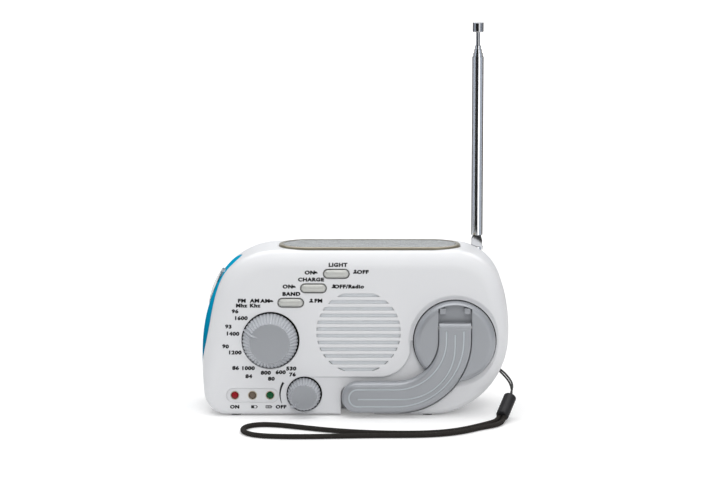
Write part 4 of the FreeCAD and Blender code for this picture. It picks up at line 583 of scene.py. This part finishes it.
def printed(name, marks):
    """All marks of one print as a film. They are set in front of the face, dropped straight back onto
    the front shell, and given the ink's thickness, with a side along each edge that one face has."""
    starts = np.cumsum([0] + [len(flat) for flat, _ in marks])
    flat = np.vstack([flat for flat, _ in marks])
    faces = np.vstack([corners + start for (_, corners), start in zip(marks, starts)])
    where = np.c_[flat[:, 0], np.full(len(flat), FACE_Y - CLEAR_OF_FACE), flat[:, 1]] * MM
    mesh = bpy.data.meshes.new(name)
    mesh.from_pydata(where.tolist(), [], faces.tolist())
    mesh.materials.append(ink)
    thing = bpy.data.objects.new(name, mesh)
    bpy.context.scene.collection.objects.link(thing)
    split = thing.modifiers.new("split", "SUBSURF")
    split.subdivision_type = "SIMPLE"
    split.levels = split.render_levels = 1
    drop = thing.modifiers.new("drop", "SHRINKWRAP")
    drop.wrap_method = "PROJECT"
    drop.use_project_y = True
    drop.use_positive_direction = True
    drop.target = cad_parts["front_shell"]
    bpy.context.view_layer.update()
    shaped = bpy.data.meshes.new_from_object(thing.evaluated_get(bpy.context.evaluated_depsgraph_get()))
    thing.modifiers.clear()
    corners = np.zeros(len(shaped.loops), np.int32)
    shaped.loops.foreach_get("vertex_index", corners)
    faces = corners.reshape(-1, 4)
    place = np.zeros(len(shaped.vertices) * 3)
    shaped.vertices.foreach_get("co", place)
    back = place.reshape(-1, 3)
    front = back - (0.0, INK * MM, 0.0)
    back = back + (0.0, INK * MM, 0.0)
    n = len(back)
    way = np.vstack([faces[:, [k, (k + 1) % 4]] for k in range(4)])
    _, first, times = np.unique(np.sort(way, axis=1), axis=0, return_index=True, return_counts=True)
    rim = way[first[times == 1]]
    sides = np.stack([rim[:, 0], rim[:, 1], rim[:, 1] + n, rim[:, 0] + n], -1)
    all_faces = faces.tolist() + (faces[:, ::-1] + n).tolist() + sides[:, ::-1].tolist()
    film = bpy.data.meshes.new(name)
    film.from_pydata(np.vstack([front, back]).tolist(), [], all_faces)
    film.materials.append(ink)
    thing.data = film
    bpy.data.meshes.remove(mesh)
    bpy.data.meshes.remove(shaped)
    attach(thing, "housing")


FM_SCALE = (("96", -61.0, 54.5), ("93", -64.5, 46.5), ("90", -66.0, 36.2), ("86", -60.9, 25.2),
            ("84", -54.2, 20.9), ("80", -42.7, 19.6), ("76", -31.9, 21.8))
AM_SCALE = (("1600", -57.8, 51.0), ("1400", -62.1, 42.9), ("1200", -61.0, 33.2), ("1000", -54.3, 25.1),
            ("800", -45.5, 22.7), ("600", -37.9, 23.0), ("530", -32.5, 24.9))
BAND_HEADS = (("FM", -57.5, 60.0), ("AM", -51.1, 60.0), ("Mhz", -57.6, 57.5), ("Khz", -50.7, 57.5))
printed("dial_print", [lettering(w, x, z) for w, x, z in FM_SCALE + AM_SCALE + BAND_HEADS])

# The volume mark is a crescent round the knob, full at its top and running out towards OFF. Its half
# width grows from the thin end with the share of the way to the power of 0.7.
CRESCENT_R = 12.2
CRESCENT_FROM, CRESCENT_TO = 149.0, 203.0  # degrees about the knob
turn = np.radians(np.linspace(CRESCENT_FROM, CRESCENT_TO, 25))
share = (CRESCENT_TO - np.degrees(turn)) / (CRESCENT_TO - CRESCENT_FROM)
half = 0.06 + 0.52 * share ** 0.7
way = np.c_[np.cos(turn), np.sin(turn)]
inner = np.array(VOLUME_AT) + (CRESCENT_R - half)[:, None] * way
outer = np.array(VOLUME_AT) + (CRESCENT_R + half)[:, None] * way
printed("volume_print", [band_mark(outer, inner), lettering("OFF", -37.8, 5.0, SMALL)])


# ------------------------------------------------------------------ push buttons
# Three latching ABS caps stand in round-ended openings. The print beside each says what it does
# when it is in and when it is out.
PUSH_HALF = 2.05  # half a cap's height, and the radius of its round ends
PUSH_REACH = 4.25  # from its middle to the middle of a round end
PUSH_CROWN = 1.5  # how far its face is domed
PUSH_BROW = -0.5  # where its side begins, in front of the front's face
FLANGE_FRONT, FLANGE_BACK = -2.5, -3.3
FLANGE = 1.2
STEM_HALF = 1.5
STEM_END = -9.5
PUSH_POINTS = 64  # round the outline

# Warm silver paint on ABS: satin, with a trace of aluminium.
button_paint = moulded("warm_silver_paint", ("c1c2be", "c5c6c2"), 0.3, 0.3, Metallic=0.25)


def push_cap(name, x, z, body):
    """A round-ended outline carried from the middle of a crowned face down its side, out round the
    flange and in to the square stem. Each step is the cap's outline narrowed by an inset, at a height
    in front of the face, and over the crown both follow a quarter of an ellipse."""
    crown = np.radians(np.linspace(86.0, 0.0, 9))
    steps = np.vstack([np.c_[PUSH_HALF * (1 - np.cos(crown)), PUSH_CROWN * np.sin(crown) + PUSH_BROW],
                       [(0.0, FLANGE_FRONT), (-FLANGE, FLANGE_FRONT), (-FLANGE, FLANGE_BACK)]])
    turn = np.linspace(0.0, 2 * math.pi, PUSH_POINTS, endpoint=False) + math.pi / PUSH_POINTS
    way = np.c_[np.cos(turn), np.sin(turn)]
    ends = PUSH_REACH * np.sign(way[:, 0])
    across = ends[None] + (PUSH_HALF - steps[:, :1]) * way[None, :, 0]
    up = (PUSH_HALF - steps[:, :1]) * way[None, :, 1]
    stem = STEM_HALF * way / np.abs(way).max(axis=1, keepdims=True)
    across = np.vstack([across, stem[:, 0], stem[:, 0]])
    up = np.vstack([up, stem[:, 1], stem[:, 1]])
    high = np.broadcast_to(np.r_[steps[:, 1], FLANGE_BACK, STEM_END][:, None], across.shape)
    thing = skin(name, np.stack([x + across, FACE_Y - high, z + up], -1) * MM, button_paint, body)
    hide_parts(body + "_button")


for body, x, z in (("light", -9.5, 73.8), ("charge", -21.1, 66.35), ("band", -32.7, 58.9)):
    push_cap(body + "_cap", x, z, body)


def cap_in(x, z):
    """The sign for a cap that is pressed in: a low dome."""
    return [dome(x, z - 0.5, 2.3, 1.1)]


def cap_out(x, z):
    """The sign for a cap that stands out: a small dome on a stem over a foot."""
    return [dome(x, z + 0.25, 1.4, 0.85), bar_mark(x, z, 0.7, 0.6), dome(x, z - 0.95, 2.4, 0.9)]


light_marks = [lettering("LIGHT", -8.6, 78.4), lettering("ON", -23.0, 74.5), *cap_in(-20.1, 74.5),
               *cap_out(0.1, 74.9), lettering("OFF", 4.0, 74.8)]
charge_marks = [lettering("CHARGE", -22.3, 70.9), lettering("ON", -34.2, 67.3), *cap_in(-31.2, 67.2),
                *cap_out(-10.8, 67.4), lettering("OFF/Radio", -3.0, 67.3)]
band_marks = [lettering("BAND", -32.3, 63.5), lettering("AM", -45.8, 59.9), *cap_in(-42.6, 59.8),
              *cap_out(-22.2, 60.0), lettering("FM", -18.6, 60.0)]
printed("button_print", light_marks + charge_marks + band_marks)


# ------------------------------------------------------------------ indicator lamps
# Three 4 mm LEDs stand in a shallow round-ended recess, each in a small beige grommet. Under them
# are printed ON and two battery signs, one partly and one wholly charged.
LAMPS = (("red", -61.4, "4a070b", "98101a"), ("clear", -52.4, "332c24", "74665a"),
         ("green", -43.4, "06301a", "085a32"))
LAMP_Z = 10.85
SIGNS_Z = 5.0


def led_epoxy(name, rim, heart):
    """Tinted epoxy: dark at the barrel's edge and lighter over the chip, under a polished skin."""
    material, tree, shader = blank(name, heart, 0.15, Specular_IOR_Level=0.25)
    place = add(tree, "TexCoord").outputs["Object"]
    cloud = add(tree, "TexNoise", {"Vector": place, "Scale": 700.0, "Detail": 1.0})
    edge = add(tree, "LayerWeight", {"Blend": 0.45}).outputs["Facing"]
    both = add(tree, "Math", {0: edge, 1: cloud.outputs["Fac"], 2: 0.1}, operation="MULTIPLY_ADD")
    add(tree, "Mix", {"Factor": both.outputs[0], "A": linear(heart), "B": linear(rim)},
        to=shader.inputs["Base Color"], data_type="RGBA")
    return material


# Polythene: soft and waxy, coloured through.
polythene = moulded("beige_polythene", ("b9ae9c", "c2b8a6"), 0.5, 0.4)
GROMMET = ((1.92, -1.6), (1.92, -0.62), (2.02, -0.55), (2.25, -0.6), (2.32, -0.78), (2.32, -1.6))

for colour, x, rim, heart in LAMPS:
    dress(led_epoxy(colour + "_led_epoxy", rim, heart), "lamp_" + colour)
    turned_ring("grommet_" + colour, (x, LAMP_Z), GROMMET, polythene, "housing")


def battery_sign(x, charge):
    """Four sides of a box about (x, SIGNS_Z), the marks inside it and the nub at its right end."""
    ends = [bar_mark(x + side * 1.35, SIGNS_Z, 0.3, 1.5) for side in (-1, 1)]
    edges = [bar_mark(x, SIGNS_Z + side * 0.65, 2.7, 0.26) for side in (-1, 1)]
    return ends + edges + charge + [bar_mark(x + 1.7, SIGNS_Z, 0.35, 0.6)]


partly = battery_sign(-51.6, [bar_mark(-52.2, SIGNS_Z, 1.3, 1.2)])
wholly = battery_sign(-44.2, [bar_mark(-44.2 + step * 0.744, SIGNS_Z, 0.42, 1.2) for step in (-1, 0, 1)])
printed("lamp_print", [lettering("ON", -61.5, SIGNS_Z, SMALL)] + partly + wholly)


# ------------------------------------------------------------------ crank
# A disc turns in its well, and the folding arm hinges across the disc's slot on a steel pin.
# Both are moulded in ABS. Under the arm's far end is the finger cup.

# ABS with a silver-grey pigment, moulded: satin, with edges that a tool leaves a little soft.
crank_abs = moulded("satin_grey_abs", ("9fa2a7", "a3a6ab"), 0.34, 0.3, soft=0.5, Metallic=0.3)
dress(crank_abs, "crank_disc", "crank_arm", "crank_grip")
# Painted shade: a dark ring deep in the gap round the disc.
gap_shade_ring("disc_gap_shade", (50.8, 39.1), 20.85, 21.28, -2.58, -2.2)

# Polished ABS in the arm's grooves: glossy strips whose pale colour is a painted highlight, the light that
# the polished groove floors catch.
groove_highlight = moulded("polished_abs_painted_highlight", ("c3cbd0", "c9d0d4"), 0.18, 0.6)
ARM_X = 50.8  # the middle of its upright stretch
ARM_BEND = 30.0
ARM_LOW = 10.7
ARM_END = 1.3
ARM_SKIN = -26.35  # its front
HIGHLIGHT_STRIP_ACROSS = (-0.42, -0.30, -0.10, 0.10, 0.30, 0.42, 0.38, -0.38)
HIGHLIGHT_STRIP_HIGH = (0.05, 0.16, 0.22, 0.22, 0.16, 0.05, -0.10, -0.10)
HIGHLIGHT_STRIP_SUNK = 0.35
LOOP_HALF = 4.4  # from the loop's middle line to either side
LOOP_TOP = 45.3
MIDDLE_BEND = 26.7
MIDDLE_LOW = 10.1
MIDDLE_TOP = 43.5


def bend(middle, radius, start, stop, count=28):
    """Points round an arc in the XZ plane."""
    turn = np.radians(np.linspace(start, stop, count))
    return np.c_[middle[0] + radius * np.cos(turn), middle[1] + radius * np.sin(turn)]


def groove_highlight_strip(name, line):
    """A narrow strip with a rounded section, carried along a line in the arm's face. Its pale colour is a
    painted highlight.
    """
    keep = np.r_[True, np.linalg.norm(np.diff(line, axis=0), axis=1) > 1e-6]
    line = line[keep]
    ahead = np.gradient(line, axis=0)
    ahead /= np.linalg.norm(ahead, axis=1, keepdims=True)
    side = np.c_[-ahead[:, 1], ahead[:, 0]]
    flat = line[:, None] + np.array(HIGHLIGHT_STRIP_ACROSS)[None, :, None] * side[:, None]
    y = np.broadcast_to(ARM_SKIN + HIGHLIGHT_STRIP_SUNK - np.array(HIGHLIGHT_STRIP_HIGH), flat.shape[:2])
    grid = np.stack([flat[..., 0], y, flat[..., 1]], -1) * MM
    thing = skin(name, grid, groove_highlight, "arm", crease=60.0)


corner = (ARM_X - ARM_BEND, ARM_LOW + ARM_BEND)
loop = np.vstack([
    [(ARM_X - LOOP_HALF, LOOP_TOP)], bend(corner, ARM_BEND - LOOP_HALF, 0, -90),
    bend((ARM_END, ARM_LOW), LOOP_HALF, 90, 270, 24),
    bend(corner, ARM_BEND + LOOP_HALF, -90, 0), [(ARM_X + LOOP_HALF, LOOP_TOP)],
])
groove_highlight_strip("arm_groove_loop", loop)
corner = (ARM_X - MIDDLE_BEND, MIDDLE_LOW + MIDDLE_BEND)
middle = np.vstack([[(ARM_X, MIDDLE_TOP)], bend(corner, MIDDLE_BEND, 0, -90), [(ARM_END, MIDDLE_LOW)]])
groove_highlight_strip("arm_groove_middle", middle)


# ------------------------------------------------------------------ gear train and generator
# Gears step the crank up twentyfold to a magnet rotor that turns inside a wound stator. The gears
# are moulded and run between a moulded frame and its cover, which screws hold together.

# Acetal: off-white and waxy, with a little light in it.
acetal = moulded("acetal", ("e4e2d8", "eae8de"), 0.42, 0.5, Subsurface_Weight=0.1)
dress(acetal, "drive_gear", "idler_gear", "gearbox_frame", "gearbox_cover", "crank_shaft")
dress(ferrite, "generator_rotor")

# Enamelled copper wire, wound side by side: warm metal with a rib every half millimetre.
copper, tree, shader = blank("enamelled_copper_wire", "b06a3a", 0.3, Metallic=0.9)
place = add(tree, "TexCoord").outputs["Object"]
winding = add(tree, "TexWave", {"Vector": place, "Scale": 600.0}, bands_direction="Z")
add(tree, "Bump", {"Height": winding.outputs["Fac"], "Strength": 0.5, "Distance": 0.1 * MM},
    to=shader.inputs["Normal"])
dress(copper, "generator_stator")


# ------------------------------------------------------------------ board and battery
# A glass-epoxy board is screwed to posts in the front shell. Behind it three cells in one wrap
# sit in a bay that the door closes, between sprung contacts.

# Green solder mask over copper: satin under a thin gloss.
mask, tree, shader = blank("solder_mask", "2f5f3a", 0.35, Coat_Weight=0.4)
mottled(tree, shader, "2b5835", "336640", 9.0)
dress(mask, "main_board")

# Green shrink wrap: thin, tight and glossy.
wrap = moulded("shrink_wrap", ("2f7a52", "35855a"), 0.25, 0.8, Coat_Weight=0.5)
dress(wrap, "battery_pack")

# Nickel-plated spring steel: warm, bright and lightly brushed.
nickel, tree, shader = blank("nickel_plated_steel", "c3c1ba", 0.25, Metallic=1.0)
mottled(tree, shader, "bdbbb4", "cbc9c3", 2.0)
dress(nickel, "battery_contacts")


# ------------------------------------------------------------------ antenna
# Drawn brass tubes, chrome plated, that slide into each other on spring sleeves. The foot's
# tongue is riveted in a swivelling fork. A turned cap ends the inner rod.

# Chrome plate: a mirror, with fine streaks along the tube from drawing it.
chrome, tree, shader = blank("chrome_plate", "f0f1f3", 0.07, Metallic=1.0, Specular_Tint=linear("7d7d7d"))
place = add(tree, "TexCoord").outputs["Object"]
drawn = add(tree, "Mapping", {"Vector": place, "Scale": (900.0, 900.0, 30.0)})
streak = add(tree, "TexNoise", {"Vector": drawn.outputs["Vector"], "Scale": 1.0, "Detail": 2.0})
add(tree, "MapRange", {"Value": streak.outputs["Fac"], "To Min": 0.05, "To Max": 0.12},
    to=shader.inputs["Roughness"])
dress(chrome, "antenna_base", "antenna_rivet", "antenna_tube_1", "antenna_tube_2", "antenna_tube_3",
      "antenna_tube_4")

# The innermost rod and the tip that fingers pull are duller with handling.
handled = chrome.copy()
handled.name = "handled_chrome_plate"
handled.node_tree.nodes["Principled BSDF"].inputs["Base Color"].default_value = linear("bdbec1")
dress(handled, "antenna_rod")


# ------------------------------------------------------------------ table, boards and light
# A wide white table in a white room, with one large soft lamp overhead and a broad one in front.
# Upright boards, which only mirror rays meet, give the plated parts dark and pale lines to show.
WHITE = linear("ffffff")


def mirror_or_camera(tree):
    """1 where the camera or a mirror looks straight at the surface, or else 0."""
    ray = add(tree, "LightPath").outputs
    seen = {0: ray["Is Camera Ray"], 1: ray["Is Glossy Ray"]}
    return add(tree, "Math", seen, operation="MAXIMUM").outputs[0]


# Backdrop paper: matt white. It glows where it is looked at, more so away from the radio, and so
# fades into the room but keeps the shadow.
backdrop, tree, shader = blank("white_backdrop_paper", "f4f4f4", 0.9)
away = add(tree, "VectorMath", {0: add(tree, "TexCoord").outputs["Object"]}, operation="LENGTH")
rise = add(tree, "MapRange", {"Value": away.outputs["Value"], "From Min": 0.25, "From Max": 1.3,
                              "To Min": 0.18, "To Max": 0.75})
glow = add(tree, "Emission", {"Color": WHITE, "Strength": rise.outputs["Result"]})
dull = add(tree, "Emission", {"Color": linear("000000"), "Strength": 0.0})
pick = add(tree, "MixShader", {"Fac": mirror_or_camera(tree), 1: dull.outputs[0], 2: glow.outputs[0]})
add(tree, "AddShader", {0: shader.outputs[0], 1: pick.outputs[0]},
    to=tree.nodes["Material Output"].inputs["Surface"])

TABLE_HALF = 6.0
x, y = np.meshgrid(np.linspace(-TABLE_HALF, TABLE_HALF, 9), (-TABLE_HALF, -2.0, 0.0, 2.0, TABLE_HALF))
table = skin("table", np.stack([x, y, np.zeros_like(x)], -1), backdrop, None, shut=(False, False), ring=False)

# Studio boards: flocked black, grey cards and the cloth of a softbox, all matt.
dark, tree, shader = blank("black_flocked_board", "0c0b0a", 0.95)
mottled(tree, shader, "0b0a09", "100f0e", 20.0)
pale, tree, shader = blank("pale_grey_card", "dcdfe4", 0.95)
softbox, tree, shader = blank("softbox_cloth", "ffffff", 1.0, Emission_Color=WHITE, Emission_Strength=3.4)
cool, tree, shader = blank("blue_grey_card", "b4bcc8", 0.95)
mottled(tree, shader, "b0b8c4", "b8c0cc", 20.0)
warm, tree, shader = blank("brown_grey_card", "6a625c", 0.95)
mottled(tree, shader, "665e58", "6e6660", 20.0)


def board(name, start, end, low, high, material):
    """An upright board from one (x, y) to another, met only by mirror rays."""
    share = np.linspace(0.0, 1.0, 5)[:, None]
    foot = np.array(start) + share * (np.array(end) - np.array(start))
    grid = np.stack([np.c_[foot, np.full(5, z)] for z in (low, (low + high) / 2, high)])
    thing = skin(name, grid, material, None, shut=(False, False), ring=False)
    thing.visible_camera = False
    thing.visible_diffuse = False
    thing.visible_transmission = False
    thing.visible_shadow = False


board("front_flag", (-0.43, -0.35), (0.14, -0.35), 0.002, 0.5, dark)
board("back_card", (0.25, 0.32), (-0.25, 0.32), 0.002, 0.3, pale)
board("upper_softbox", (0.8, 0.6), (-0.8, 0.6), 0.4, 1.5, softbox)
board("left_card", (-0.50, 0.16), (-0.45, -0.35), 0.002, 0.5, cool)
board("left_far_card", (-0.20, 0.55), (-0.50, 0.17), 0.002, 0.5, warm)
board("right_card", (0.39, -0.35), (0.60, 0.10), 0.002, 0.5, cool)
board("right_far_card", (0.60, 0.12), (0.35, 0.55), 0.002, 0.5, warm)


def soft_lamp(name, place, aim, size, watts):
    """A rectangular lamp at one point, turned to face another."""
    light = bpy.data.lights.new(name, "AREA")
    light.shape = "RECTANGLE"
    light.size, light.size_y = size
    light.energy = watts
    thing = bpy.data.objects.new(name, light)
    thing.location = place
    way = np.array(aim) - np.array(place)
    level = math.hypot(way[0], way[1])
    thing.rotation_euler = (math.atan2(level, -way[2]), 0.0, math.atan2(way[1], way[0]) - math.pi / 2)
    bpy.context.scene.collection.objects.link(thing)


soft_lamp("overhead_lamp", (0.0, -0.1, 1.3), (0.0, 0.0, 0.0), (1.3, 1.0), 7.6)
soft_lamp("front_lamp", (0.2, -1.6, 1.0), (0.0, 0.0, 0.05), (0.8, 0.8), 7.4)

# The room is white where the camera, a mirror or clear plastic looks at it, and lights the radio
# from all round at a plain level.
world = bpy.data.worlds.new("studio")
bpy.context.scene.world = world
world.use_nodes = True
tree = world.node_tree
tree.nodes.clear()
clear = add(tree, "LightPath").outputs["Is Transmission Ray"]
seen = add(tree, "Math", {0: mirror_or_camera(tree), 1: clear}, operation="MAXIMUM")
room = add(tree, "Background", {"Color": WHITE, "Strength": 0.57})
white = add(tree, "Background", {"Color": WHITE, "Strength": 1.0})
out = add(tree, "OutputWorld")
add(tree, "MixShader", {"Fac": seen.outputs[0], 1: room.outputs[0], 2: white.outputs[0]},
    to=out.inputs["Surface"])

bpy.context.scene.view_settings.view_transform = "Standard"
